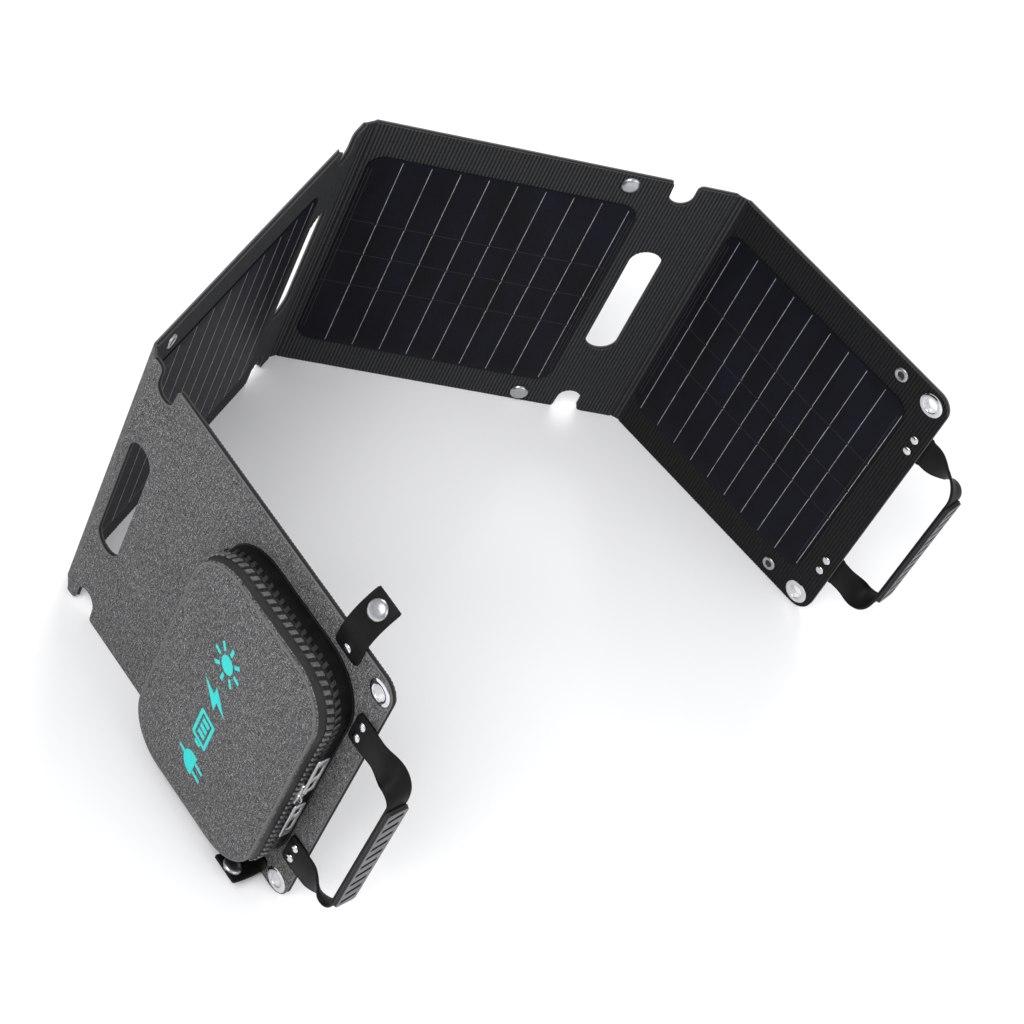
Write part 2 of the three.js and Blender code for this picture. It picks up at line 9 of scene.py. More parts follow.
import bmesh
import bpy
from mathutils import Matrix, Vector
from mathutils.geometry import tessellate_polygon


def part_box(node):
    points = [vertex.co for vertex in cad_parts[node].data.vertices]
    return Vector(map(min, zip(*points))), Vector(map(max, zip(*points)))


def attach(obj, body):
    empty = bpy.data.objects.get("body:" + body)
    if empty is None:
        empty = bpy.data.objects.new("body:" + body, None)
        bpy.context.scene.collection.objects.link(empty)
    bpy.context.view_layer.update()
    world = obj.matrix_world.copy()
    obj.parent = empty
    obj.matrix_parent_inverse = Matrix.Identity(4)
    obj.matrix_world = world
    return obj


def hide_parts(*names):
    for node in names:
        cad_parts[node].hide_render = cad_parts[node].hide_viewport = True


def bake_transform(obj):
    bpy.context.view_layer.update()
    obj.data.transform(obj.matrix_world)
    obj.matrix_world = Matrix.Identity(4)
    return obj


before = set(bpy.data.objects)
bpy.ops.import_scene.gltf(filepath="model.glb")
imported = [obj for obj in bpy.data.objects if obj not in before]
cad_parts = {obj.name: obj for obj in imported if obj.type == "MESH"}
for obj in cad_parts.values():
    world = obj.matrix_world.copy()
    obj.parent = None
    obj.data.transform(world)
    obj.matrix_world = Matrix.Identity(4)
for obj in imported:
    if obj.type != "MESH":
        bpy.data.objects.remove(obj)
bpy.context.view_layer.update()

MM = 0.001
HEIGHT = 260.0
MIDDLE = HEIGHT / 2
GAP = 0.3
LENGTH = {1: 272.5, 2: 271.2, 3: 273.3, 4: 211.2}
BEND = {"12": 66.3, "23": 58.5, "34": 48.1}
STRIP_WIDTH = 8.0
CREASE_MARGIN = 1.3
BACK = (1.0, 2.2)
CORE = (-0.85, 1.0)
FRONT = (-1.85, -0.85)
LAMINATE = (-2.65, -1.7)
FREE_CORNER = 14.0
FOLD_CORNER = 0.8
CUTOUT_AT = {1: 248.5, 2: 242.5, 3: 230.6}
CUTOUT_RADIUS, CUTOUT_LOW, CUTOUT_HIGH = 12, 85, 175
CELLS_SPAN = {1: (26, 225), 2: (11, 219), 3: (10, 207), 4: (5.8, 186.5)}
CELLS_LOW, CELLS_HIGH, CELLS_CORNER = 27.5, 230.0, 13.0
ARM_HEIGHTS = (MIDDLE + 76, MIDDLE - 76)
EYELET_HEIGHTS = (HEIGHT - 12.5, 12.5)
RIVET_PITCH = 12.5
RIB_PITCH = 2.6


# ---------------------------------------------------------------- frames

def plan(x, y, degrees):
    return Matrix.Translation((x, y, 0)) @ Matrix.Rotation(math.radians(degrees), 4, "Z")


def crease_offset(fold):
    return STRIP_WIDTH / (2 * math.cos(math.radians(BEND[fold] / 2)))


def panel_frames():
    """Each panel's and fold strip's matrix, from its own millimetres to the row frame's."""
    low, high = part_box("panel_3_back_cover")
    offset12, offset23, offset34 = (crease_offset(fold) for fold in ("12", "23", "34"))
    three = plan(low[0] / MM - offset23 - CREASE_MARGIN, high[1] / MM - BACK[1], 0)
    strip34 = three @ plan(LENGTH[3] - offset34, 0, -BEND["34"] / 2)
    four = strip34 @ plan(STRIP_WIDTH, 0, -BEND["34"] / 2) @ plan(-offset34, 0, 0)
    strip23 = three @ plan(offset23, 0, BEND["23"] / 2)
    two = strip23 @ plan(-STRIP_WIDTH, 0, BEND["23"] / 2) @ plan(offset23 - LENGTH[2], 0, 0)
    strip12 = two @ plan(offset12, 0, BEND["12"] / 2)
    one = strip12 @ plan(-STRIP_WIDTH, 0, BEND["12"] / 2) @ plan(offset12 - LENGTH[1], 0, 0)
    return {1: one, 2: two, 3: three, 4: four, "12": strip12, "23": strip23, "34": strip34}


FRAMES = panel_frames()


# ---------------------------------------------------------------- materials

class Shader:
    """A Principled material with a few short ways of wiring textures. Texture space is the
    mesh's own Weave map, in millimetres."""

    def __init__(self, name, roughness=0.5, metallic=0.0, **sockets):
        self.material = bpy.data.materials.new(name)
        self.material.use_nodes = True
        self.tree = self.material.node_tree
        self.bsdf = self.tree.nodes["Principled BSDF"]
        self.bsdf.inputs["Roughness"].default_value = roughness
        self.bsdf.inputs["Metallic"].default_value = metallic
        for socket, value in sockets.items():
            self.bsdf.inputs[socket.replace("_", " ")].default_value = value
        self.map = self.node("ShaderNodeUVMap", uv_map="Weave").outputs["UV"]

    def node(self, kind, **settings):
        made = self.tree.nodes.new(kind)
        for key, value in settings.items():
            setattr(made, key, value)
        return made

    def feed(self, socket, value):
        """Links a socket to another node, or sets it to a fixed value."""
        if isinstance(value, bpy.types.NodeSocket):
            self.tree.links.new(value, socket)
        else:
            socket.default_value = value

    def put(self, node, **inputs):
        for key, value in inputs.items():
            self.feed(node.inputs[key.replace("_", " ")], value)
        return node

    def turned(self, degrees, along=1.0, across=1.0):
        """The texture space turned, then stretched: `along` and `across` multiply frequency."""
        spin = self.put(self.node("ShaderNodeMapping"), Vector=self.map,
                        Rotation=(0, 0, math.radians(degrees)))
        return self.put(self.node("ShaderNodeMapping"), Vector=spin.outputs["Vector"],
                        Scale=(along, across, 1)).outputs["Vector"]

    def noise(self, vector, scale, detail=2.0, roughness=0.5):
        return self.put(self.node("ShaderNodeTexNoise"), Vector=vector, Scale=scale,
                        Detail=detail, Roughness=roughness).outputs["Fac"]

    def voronoi(self, vector, scale):
        return self.put(self.node("ShaderNodeTexVoronoi"), Vector=vector,
                        Scale=scale).outputs["Distance"]

    def wave(self, vector, pitch, direction="X", distortion=0.0):
        """Bands `pitch` millimetres apart."""
        node = self.node("ShaderNodeTexWave", bands_direction=direction)
        return self.put(node, Vector=vector, Scale=math.pi / 10 / pitch,
                        Distortion=distortion).outputs["Fac"]

    def ramp(self, factor, stops):
        node = self.node("ShaderNodeValToRGB")
        elements = node.color_ramp.elements
        while len(elements) < len(stops):
            elements.new(0.5)
        for element, (position, colour) in zip(elements, stops):
            element.position = position
            element.color = (*colour, 1.0)
        self.put(node, Fac=factor)
        return node.outputs["Color"]

    def mix(self, factor, a, b, blend="MIX"):
        node = self.node("ShaderNodeMix", data_type="RGBA", blend_type=blend)
        for socket, value in ((0, factor), (6, a), (7, b)):
            self.feed(node.inputs[socket], value)
        return node.outputs[2]

    def maths(self, operation, a, b):
        node = self.node("ShaderNodeMath", operation=operation)
        for socket, value in zip(node.inputs, (a, b)):
            self.feed(socket, value)
        return node.outputs[0]

    def level(self, factor, low, high):
        """A 0 to 1 value spread between two levels."""
        node = self.node("ShaderNodeMapRange")
        return self.put(node, Value=factor, To_Min=low, To_Max=high).outputs["Result"]

    def finish(self, colour=None, roughness=None, height=None, depth=0.1, strength=1.0):
        if colour is not None:
            self.put(self.bsdf, Base_Color=colour)
        if roughness is not None:
            self.put(self.bsdf, Roughness=roughness)
        if height is not None:
            bump = self.put(self.node("ShaderNodeBump"), Height=height, Strength=strength,
                            Distance=depth * MM)
            self.put(self.bsdf, Normal=bump.outputs["Normal"])
        return self.material


def grey(value):
    return (value, value, value)


def heather_fabric():
    """Woven melange: fine pale and dark specks, with fainter threads both ways."""
    s = Shader("heather_fabric", roughness=0.92, Specular_IOR_Level=0.2)
    specks = s.noise(s.turned(28, 0.75, 1.15), 1.0, 3.0, 0.65)
    along = s.noise(s.turned(0, 0.16, 1.2), 1.0, 2.0, 0.5)
    upright = s.noise(s.turned(90, 0.16, 1.2), 1.0, 2.0, 0.5)
    threads = s.mix(0.5, along, upright)
    tone = s.mix(0.42, specks, threads)
    ground = s.ramp(tone, [
        (0.40, grey(0.018)),
        (0.47, grey(0.064)),
        (0.54, (0.138, 0.138, 0.139)),
        (0.61, (0.360, 0.360, 0.361)),
    ])
    cloudy = s.ramp(s.noise(s.map, 0.02, 2.0), [(0.3, grey(0.86)), (0.7, grey(1.0))])
    height = s.maths("ADD", s.maths("MULTIPLY", specks, 0.8), s.maths("MULTIPLY", threads, 0.6))
    return s.finish(s.mix(1.0, ground, cloudy, "MULTIPLY"), s.level(specks, 0.82, 0.97), height, 0.25)


def ribbed_fabric(name, shade):
    """Black fabric, paler along the crest of each upright rib: a painted highlight on the crests and
    painted shade in the valleys. `shade` scales its tone; below 1 it is a painted shade for a panel
    turned away from the light.
    """
    s = Shader(name, roughness=0.85, Specular_IOR_Level=0.2)
    weave = s.maths("MULTIPLY", s.wave(s.turned(0), 0.5, "X", 0.4), s.wave(s.turned(0), 0.5, "Y", 0.4))
    mottle = s.noise(s.turned(0, 1.0, 0.6), 0.8, 4.0, 0.6)
    crest = s.ramp(mottle, [(0.3, grey(0.026 * shade)), (0.7, grey(0.058 * shade))])
    # Painted highlight on each rib's crest and painted shade in its valleys, lined up with the ribs'
    # geometry.
    rib = s.ramp(s.wave(s.map, RIB_PITCH), [(0.2, (0.18, 0.19, 0.21)), (0.8, (0.92, 0.95, 1.0))])
    return s.finish(s.mix(1.0, crest, rib, "MULTIPLY"), s.level(mottle, 0.7, 0.92), weave, 0.12)


def cell_laminate():
    """Dark cells under a matt, finely dimpled film, bluer towards some of the cells."""
    s = Shader("cell_laminate", roughness=0.5, Specular_IOR_Level=0.06)
    fingers = s.wave(s.map, 1.3, "Y")
    cloud = s.noise(s.turned(0, 0.035, 0.012), 1.0, 2.0)
    colour = s.ramp(cloud, [(0.36, (0.0048, 0.0052, 0.0070)), (0.68, (0.0066, 0.0070, 0.0132))])
    faint = s.ramp(fingers, [(0.0, grey(0.84)), (1.0, grey(1.0))])
    dimples = s.voronoi(s.map, 1.1)
    return s.finish(s.mix(1.0, colour, faint, "MULTIPLY"), s.level(dimples, 0.42, 0.58), dimples, 0.05)


def mottled(name, dark, light, roughness=0.5, metallic=0.0, scale=1.0, detail=3.0, rough_noise=0.5,
            stops=(0.3, 0.7), stretch=None, spread=None, depth=0.0, **sockets):
    """A look that drifts between two colours with one noise. `spread` is its roughness from low to
    high noise, `stretch` draws the noise out, and `depth` is its bump in millimetres."""
    s = Shader(name, roughness, metallic, **sockets)
    tone = s.noise(s.turned(0, *stretch) if stretch else s.map, scale, detail, rough_noise)
    colour = s.ramp(tone, list(zip(stops, (dark, light))))
    return s.finish(colour, s.level(tone, *spread) if spread else None, tone if depth else None, depth)


def core_foam():
    s = Shader("panel_core", roughness=0.9)
    cells = s.voronoi(s.map, 1.6)
    return s.finish(s.ramp(cells, [(0.0, grey(0.004)), (0.6, grey(0.012))]), None, cells, 0.15)


def cut_edge_painted_highlight(name, dark, light):
    """The cut or turned edge of a cover, paler than its face: partly its own tone, partly a painted
    highlight along the edge.
    """
    return mottled(name, grey(dark), grey(light), 0.85, scale=2.2, rough_noise=0.7, depth=0.12)


def strap_leather():
    s = Shader("strap_leather", roughness=0.5, Specular_IOR_Level=0.12)
    grain = s.voronoi(s.map, 1.4)
    patchy = s.noise(s.map, 0.11, 3.0)
    colour = s.ramp(patchy, [(0.3, grey(0.0030)), (0.7, grey(0.0065))])
    return s.finish(colour, s.level(patchy, 0.42, 0.6), grain, 0.07)


def grip_rubber():
    s = Shader("grip_rubber", roughness=0.55)
    speckle = s.noise(s.map, 2.6, 4.0, 0.7)
    worn = s.noise(s.map, 0.06, 2.0)
    colour = s.ramp(worn, [(0.3, (0.085, 0.086, 0.088)), (0.7, (0.145, 0.146, 0.150))])
    return s.finish(colour, s.level(speckle, 0.46, 0.68), speckle, 0.06)


def zip_plastic(name, dark, light, roughness):
    return mottled(name, grey(dark), grey(light), roughness, scale=0.9,
                   spread=(roughness - 0.1, roughness + 0.1), depth=0.05)


def zip_tape():
    s = Shader("zip_tape", roughness=0.85)
    knit = s.maths("MULTIPLY", s.wave(s.turned(35), 0.7, "X"), s.wave(s.turned(-35), 0.7, "X"))
    return s.finish(s.ramp(knit, [(0.0, grey(0.006)), (1.0, grey(0.022))]), None, knit, 0.15)


def printed_ink():
    """Turquoise print that sinks a little into the weave."""
    s = Shader("turquoise_print", roughness=0.6)
    thin = s.noise(s.turned(28, 0.4, 1.4), 1.0, 3.0)
    colour = s.ramp(thin, [(0.28, (0.004, 0.42, 0.40)), (0.5, (0.006, 0.60, 0.57))])
    return s.finish(colour, s.level(thin, 0.5, 0.72), thin, 0.12)


HEATHER = heather_fabric()
RIBBED = ribbed_fabric("ribbed_fabric", 1.0)
# A darker copy of the ribbed fabric: painted shade for panel 4, which faces away from the light.
RIBBED_PAINTED_SHADE = ribbed_fabric("ribbed_fabric_painted_shade", 0.28)
CELLS = cell_laminate()
BUSBAR = mottled("cell_busbar", grey(0.18), grey(0.46), 0.4, 0.6, 0.12, rough_noise=0.7,
                 stops=(0.32, 0.6), spread=(0.5, 0.32))
CELL_GAP = mottled("cell_gap", grey(0.004), grey(0.008), scale=0.3, detail=2.0)
FOAM = core_foam()
# These edge tones are paler than the faces beside them: partly their own tone, partly a painted
# highlight.
GREY_EDGE = cut_edge_painted_highlight("grey_cut_edge", 0.065, 0.14)
BLACK_EDGE = cut_edge_painted_highlight("black_cut_edge", 0.020, 0.055)
PIPING = cut_edge_painted_highlight("piping", 0.055, 0.165)
LEATHER = strap_leather()
RUBBER = grip_rubber()
BLACK_RUBBER = mottled("grip_rubber_dark", grey(0.003), grey(0.008), 0.7, scale=2.2, detail=4.0,
                       rough_noise=0.7, depth=0.06)
CHROME = mottled("chrome", (0.60, 0.61, 0.63), (0.70, 0.71, 0.725), 0.12, 1.0, 0.16, 2.0,
                 spread=(0.07, 0.15))
SATIN_METAL = mottled("satin_metal", (0.34, 0.345, 0.355), (0.50, 0.505, 0.515), 0.3, 1.0,
                      stretch=(0.3, 3.0), spread=(0.22, 0.38), depth=0.02)
BORE = mottled("eyelet_bore", grey(0.55), grey(0.75), 0.6, 0.6, 0.5, spread=(0.5, 0.7))
# A near-black metal for the disc in a snap ring's middle: painted shade for the socket's hollow.
SOCKET_PAINTED_SHADE = mottled("snap_socket_painted_shade", grey(0.035), grey(0.08), 0.35, 1.0, 0.8, rough_noise=0.6,
                   spread=(0.25, 0.5))
ZIP_BLACK = zip_plastic("zip_teeth_black", 0.010, 0.030, 0.34)
# Lighter grey teeth: a painted highlight standing in for the glossy teeth's reflections.
ZIP_TEETH_PAINTED_HIGHLIGHT = zip_plastic("zip_teeth_painted_highlight", 0.04, 0.12, 0.3)
TAPE = zip_tape()
SATIN = mottled("satin_band", grey(0.014), grey(0.032), stretch=(0.2, 3.0), spread=(0.42, 0.62),
                depth=0.08, Specular_IOR_Level=0.15)
CASE = mottled("case_plastic", grey(0.022), grey(0.042), scale=1.8, detail=5.0, rough_noise=0.7,
               spread=(0.42, 0.62), depth=0.06)
INK = printed_ink()
PORT = mottled("port_metal", grey(0.42), grey(0.66), 0.3, 1.0, stretch=(0.2, 4.0),
               spread=(0.22, 0.4), depth=0.02)
LAMP = mottled("lamp_green", (0.02, 0.35, 0.10), (0.05, 0.60, 0.18), 0.3, scale=0.8, detail=1.0)


# ---------------------------------------------------------------- mesh making

def box_map(mesh):
    """Writes the Weave map: each face is projected along its own main direction, in mm."""
    layer = mesh.uv_layers.new(name="Weave")
    for polygon in mesh.polygons:
        corners = [mesh.vertices[i].co for i in polygon.vertices]
        normal = newell(corners)
        axis = max(range(3), key=lambda k: abs(normal[k]))
        u, v = ((1, 2), (0, 2), (0, 1))[axis]
        for loop, corner in zip(polygon.loop_indices, corners):
            layer.data[loop].uv = (corner[u], corner[v])


def newell(corners):
    total = Vector((0, 0, 0))
    for a, b in zip(corners, [*corners[1:], corners[0]]):
        total += Vector(a).cross(Vector(b))
    return total


def bare_mesh(name, parts, materials):
    """A mesh in millimetres from gathered parts, with its faces turned outwards."""
    mesh = bpy.data.meshes.new(name)
    mesh.from_pydata(parts.points, [], parts.faces)
    for made in materials:
        mesh.materials.append(made)
    mesh.polygons.foreach_set("material_index", parts.kinds)
    shape = bmesh.new()
    shape.from_mesh(mesh)
    bmesh.ops.recalc_face_normals(shape, faces=shape.faces)
    shape.to_mesh(mesh)
    shape.free()
    return mesh


def linked_object(name, data):
    made = bpy.data.objects.new(name, data)
    bpy.context.scene.collection.objects.link(made)
    return made


def place(piece, body, slot, *nodes):
    """The piece rides on a body and stands for CAD nodes, which it hides; `slot` is not used."""
    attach(piece, body)
    if nodes:
        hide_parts(*nodes)
    return piece


class Parts:
    """Points and faces gathered from several simple shapes into one mesh."""

    def __init__(self):
        self.points = []
        self.faces = []
        self.kinds = []

    def add(self, points, faces, kind=0):
        start = len(self.points)
        self.points += [tuple(p) for p in points]
        self.faces += [tuple(start + i for i in face) for face in faces]
        self.kinds += kind if isinstance(kind, list) else [kind] * len(faces)

    def moved(self, change):
        """The same parts with every point changed by a function of (x, y, z)."""
        self.points = [tuple(change(*p)) for p in self.points]
        return self

    def build(self, name, matrix, materials, smooth=40):
        """A mesh object put where the matrix says. A face's kind is its number in `materials`."""
        mesh = bare_mesh(name, self, materials)
        box_map(mesh)
        mesh.transform(Matrix.Scale(MM, 4) @ matrix)
        mesh.polygons.foreach_set("use_smooth", [True] * len(mesh.polygons))
        mesh.set_sharp_from_angle(angle=math.radians(smooth))
        return linked_object(name, mesh)


def ring_faces(levels, count, closed=False):
    """Quads between rings of `count` points, one ring a level, and back to the first if closed."""
    faces = []
    for level in range(levels if closed else levels - 1):
        above = (level + 1) % levels
        for i in range(count):
            j = (i + 1) % count
            faces.append((level * count + i, level * count + j, above * count + j, above * count + i))
    return faces


def end_faces(levels, count):
    """The first and last rings' own faces."""
    return [tuple(range(count)), tuple(range((levels - 1) * count, levels * count))]


def arc(x, z, radius, start, end, steps=10):
    """Points on an arc, in degrees."""
    angles = [math.radians(start + (end - start) * i / steps) for i in range(steps + 1)]
    return [(x + radius * math.cos(a), z + radius * math.sin(a)) for a in angles]


def rounded_rectangle(left, right, low, high, radius, steps=10):
    return (
        arc(left + radius, low + radius, radius, 180, 270, steps)
        + arc(right - radius, low + radius, radius, 270, 360, steps)
        + arc(right - radius, high - radius, radius, 0, 90, steps)
        + arc(left + radius, high - radius, radius, 90, 180, steps)
    )


def circle(x, z, radius, steps=32):
    return arc(x, z, radius, 0, 360, steps)[:-1]


def tidy_loop(loop, clockwise=False):
    """Drops repeated points and turns the loop the way asked."""
    kept = [p for p, q in zip(loop, loop[-1:] + loop[:-1]) if math.dist(p, q) > 1e-4]
    area = sum(a[0] * b[1] - b[0] * a[1] for a, b in zip(kept, kept[1:] + kept[:1]))
    return kept[::-1] if (area > 0) == clockwise else kept


def inset_loop(loop, amount):
    """Moves a loop to its left, which is into the material for a turned loop."""
    moved = []
    for before, here, after in zip(loop[-1:] + loop[:-1], loop, loop[1:] + loop[:1]):
        first = Vector((here[0] - before[0], here[1] - before[1])).normalized()
        second = Vector((after[0] - here[0], after[1] - here[1])).normalized()
        normals = Vector((-first.y, first.x)), Vector((-second.y, second.x))
        share = max(1 + normals[0].dot(normals[1]), 0.5)
        offset = (normals[0] + normals[1]) * (amount / share)
        moved.append((here[0] + offset.x, here[1] + offset.y))
    return moved


def plate_parts(loops, profile, parts=None, kinds=(0, 0, 0)):
    """A plate from an outline and its holes. The profile lists (inset, depth) from the low face
    to the high one. `kinds` are the materials of the low face, the edge and the high face."""
    parts = parts or Parts()
    loops = [tidy_loop(loop, clockwise=i > 0) for i, loop in enumerate(loops)]
    points, faces, sorts = [], [], []
    for inset, depth in profile:
        for loop in loops:
            points += [(x, depth, z) for x, z in inset_loop(loop, inset)]
    ring = sum(len(loop) for loop in loops)
    start = 0
    for loop in loops:
        count = len(loop)
        for level in range(len(profile) - 1):
            for i in range(count):
                a = level * ring + start + i
                b = level * ring + start + (i + 1) % count
                faces.append((a, b, b + ring, a + ring))
                sorts.append(kinds[1])
        start += count
    for level, kind, flip in ((0, kinds[0], False), (len(profile) - 1, kinds[2], True)):
        flat, index = [], []
        start = level * ring
        for loop in loops:
            ring_points = points[start:start + len(loop)]
            flat.append([Vector((x, z, 0)) for x, _, z in ring_points])
            index += range(start, start + len(loop))
            start += len(loop)
        for triangle in tessellate_polygon(flat):
            a, b, c = (index[i] for i in triangle)
            face = (a, b, c)
            turn = newell([points[i] for i in face])
            if (turn.y > 0) != flip:
                face = (a, c, b)
            faces.append(face)
            sorts.append(kind)
    parts.add(points, faces, sorts)
    return parts


def round_edges(low, high, radius, steps=3):
    """A plate's profile with both edges rounded."""
    turn = [math.radians(90 * i / steps) for i in range(steps + 1)]
    lower = [(radius * (1 - math.sin(a)), low + radius * (1 - math.cos(a))) for a in turn]
    upper = [(inset, high - (depth - low)) for inset, depth in reversed(lower)]
    return lower + upper


def lathe_parts(profile, x, z, parts=None, kind=0, steps=48):
    """Turns (radius, depth) pairs about an axis across the panel."""
    parts = parts or Parts()
    points, rows = [], []
    for radius, depth in profile:
        if radius < 1e-6:
            rows.append([len(points)] * steps)
            points.append((x, depth, z))
            continue
        rows.append(list(range(len(points), len(points) + steps)))
        for i in range(steps):
            angle = 2 * math.pi * i / steps
            points.append((x + radius * math.cos(angle), depth, z + radius * math.sin(angle)))
    faces = []
    for lower, upper in zip(rows, rows[1:]):
        for i in range(steps):
            j = (i + 1) % steps
            corners = [lower[i], upper[i], upper[j], lower[j]]
            face = [c for k, c in enumerate(corners) if c != corners[k - 1]]
            if len(face) > 2:
                faces.append(tuple(face))
    parts.add(points, faces, kind)
    return parts


def ribbon_parts(stations, thickness, parts=None, edge=0.45):
    """A strap swept through (centre, across, half width) stations, with softened edges."""
    parts = parts or Parts()
    half_thick = thickness / 2
    points = []
    for i, (centre, across, half) in enumerate(stations):
        before = stations[max(i - 1, 0)][0]
        after = stations[min(i + 1, len(stations) - 1)][0]
        normal = (after - before).normalized().cross(across).normalized()
        section = [
            (-half + edge, -half_thick), (-half * 0.5, -half_thick), (half * 0.5, -half_thick),
            (half - edge, -half_thick), (half, -half_thick + edge), (half, half_thick - edge),
            (half - edge, half_thick), (half - 1.6, half_thick), (half - 1.9, half_thick - 0.12),
            (half - 2.2, half_thick), (0, half_thick), (-half + 2.2, half_thick),
            (-half + 1.9, half_thick - 0.12), (-half + 1.6, half_thick), (-half + edge, half_thick),
            (-half, half_thick - edge), (-half, -half_thick + edge),
        ]
        points += [tuple(centre + across * w + normal * t) for w, t in section]
    levels, count = len(stations), len(points) // len(stations)
    parts.add(points, ring_faces(levels, count) + end_faces(levels, count))
    return parts


def tube_parts(path, radius, parts=None, kind=0, sides=8, closed=True):
    """A round cord along a path, closed or with open ends."""
    parts = parts or Parts()
    count = len(path)
    points = []
    for i, here in enumerate(path):
        before = path[i - 1] if closed else path[max(i - 1, 0)]
        after = path[(i + 1) % count] if closed else path[min(i + 1, count - 1)]
        forward = (Vector(after) - Vector(before)).normalized()
        side = forward.cross(Vector((0, 1, 0))).normalized()
        up = side.cross(forward)
        for k in range(sides):
            angle = 2 * math.pi * k / sides
            spoke = side * math.cos(angle) + up * math.sin(angle)
            points.append(tuple(Vector(here) + spoke * radius))
    parts.add(points, ring_faces(count, sides, closed), kind)
    return parts


# ---------------------------------------------------------------- panels

def panel_span(panel):
    """Where a panel's covers start and end along it, and its corner radii."""
    near = {1: None, 2: "12", 3: "23", 4: "34"}[panel]
    far = {1: "12", 2: "23", 3: "34", 4: None}[panel]
    start = crease_offset(near) + CREASE_MARGIN if near else 0.0
    end = LENGTH[panel] - (crease_offset(far) + CREASE_MARGIN if far else 0.0)
    return start, end, FOLD_CORNER if near else FREE_CORNER, FOLD_CORNER if far else FREE_CORNER


def notch(at):
    """The edge's path round a notch as (along, depth): a tight lip, the bowl, a flared lip."""
    tight, bowl, flare = 2.4, 9.0, 4.5
    return (
        arc(at - bowl - 0.6 - tight, tight, tight, -90, 0, 5)
        + arc(at, 12, bowl, 180, 0, 16)
        + arc(at + bowl + flare, flare, flare, 180, 270, 6)
    )


EYELET_AT = {1: 11.0, 4: LENGTH[4] - 14}
EYELET_HOLE = 7.9


def cover_loops(panel):
    start, end, start_corner, end_corner = panel_span(panel)
    low_notch, high_notch = [], []
    if panel in CUTOUT_AT:
        low_notch = notch(CUTOUT_AT[panel])
        high_notch = [(x, HEIGHT - depth) for x, depth in reversed(low_notch)]
    outer = (
        arc(start + start_corner, start_corner, start_corner, 180, 270)
        + low_notch
        + arc(end - end_corner, end_corner, end_corner, 270, 360)
        + arc(end - end_corner, HEIGHT - end_corner, end_corner, 0, 90)
        + high_notch
        + arc(start + start_corner, HEIGHT - start_corner, start_corner, 90, 180)
    )
    loops = [outer]
    if panel in CUTOUT_AT:
        at = CUTOUT_AT[panel]
        loops.append(arc(at, CUTOUT_HIGH, CUTOUT_RADIUS, 0, 180, 20)
                     + arc(at, CUTOUT_LOW, CUTOUT_RADIUS, 180, 360, 20))
    if panel in EYELET_AT:
        loops += [circle(EYELET_AT[panel], up, EYELET_HOLE) for up in EYELET_HEIGHTS]
    return loops


RIB_SHAPE = ((0.0, 0.36), (0.3, 0.32), (0.7, 0.12), (1.0, 0.01), (1.3, 0.0), (1.6, 0.01),
             (1.9, 0.12), (2.3, 0.32))


def ribbed_slab(start, end):
    """Upright ribs over a panel's whole length, a little longer and taller than the cover."""
    parts = Parts()
    crest = FRONT[0] + 0.01
    line = []
    x = RIB_PITCH * (math.floor(start / RIB_PITCH) - 1)
    while x < end + RIB_PITCH:
        line += [(x + along, crest + sink) for along, sink in RIB_SHAPE]
        x += RIB_PITCH
    line += [(line[-1][0], FRONT[1] + 0.1), (line[0][0], FRONT[1] + 0.1)]
    count = len(line)
    points = [(x, y, z) for z in (-5.0, HEIGHT + 5.0) for x, y in line]
    parts.add(points, ring_faces(2, count) + end_faces(2, count))
    return parts


def shared_volume(first, second, materials):
    """What two sets of parts have in common, as new parts."""
    kept = linked_object("kept", bare_mesh("kept", first, materials))
    cutter = linked_object("cutter", bare_mesh("cutter", second, materials))
    step = kept.modifiers.new("cut", "BOOLEAN")
    step.operation = "INTERSECT"
    step.solver = "EXACT"
    step.object = cutter
    graph = bpy.context.evaluated_depsgraph_get()
    mesh = bpy.data.meshes.new_from_object(kept.evaluated_get(graph))
    common = Parts()
    common.add(
        [tuple(v.co) for v in mesh.vertices],
        [tuple(p.vertices) for p in mesh.polygons],
        [p.material_index for p in mesh.polygons],
    )
    for made in (kept, cutter):
        bpy.data.objects.remove(made, do_unlink=True)
    return common


def panel_covers(panel):
    loops = cover_loops(panel)
    label = f"panel_{panel}"
    back = plate_parts(loops, round_edges(*BACK, 0.42), kinds=(1, 1, 0))
    place(back.build(f"{label}_back_fabric", FRAMES[panel], [HEATHER, GREY_EDGE], 50),
          label, "grey_fabric", f"{label}_back_cover")

    trim = plate_parts(loops, round_edges(FRONT[0] - 0.1, FRONT[1], 0.4), kinds=(1, 1, 1))
    start, end = panel_span(panel)[:2]
    # Panel 4's front gets the darker copy of the ribbed fabric, a painted shade.
    looks = [RIBBED_PAINTED_SHADE if panel == 4 else RIBBED, BLACK_EDGE]
    front = shared_volume(ribbed_slab(start, end), trim, looks)
    place(front.build(f"{label}_front_fabric", FRAMES[panel], looks, 35),
          label, "black_fabric", f"{label}_front_cover")

    core_profile = [(0.55, CORE[0]), (0.9, CORE[0] + 0.5), (0.9, CORE[1] - 0.5), (0.55, CORE[1])]
    core = plate_parts(loops, core_profile)
    place(core.build(f"{label}_core", FRAMES[panel], [FOAM]), label, "stiffener",
          f"{label}_stiffener_board")


# ---------------------------------------------------------------- solar cells

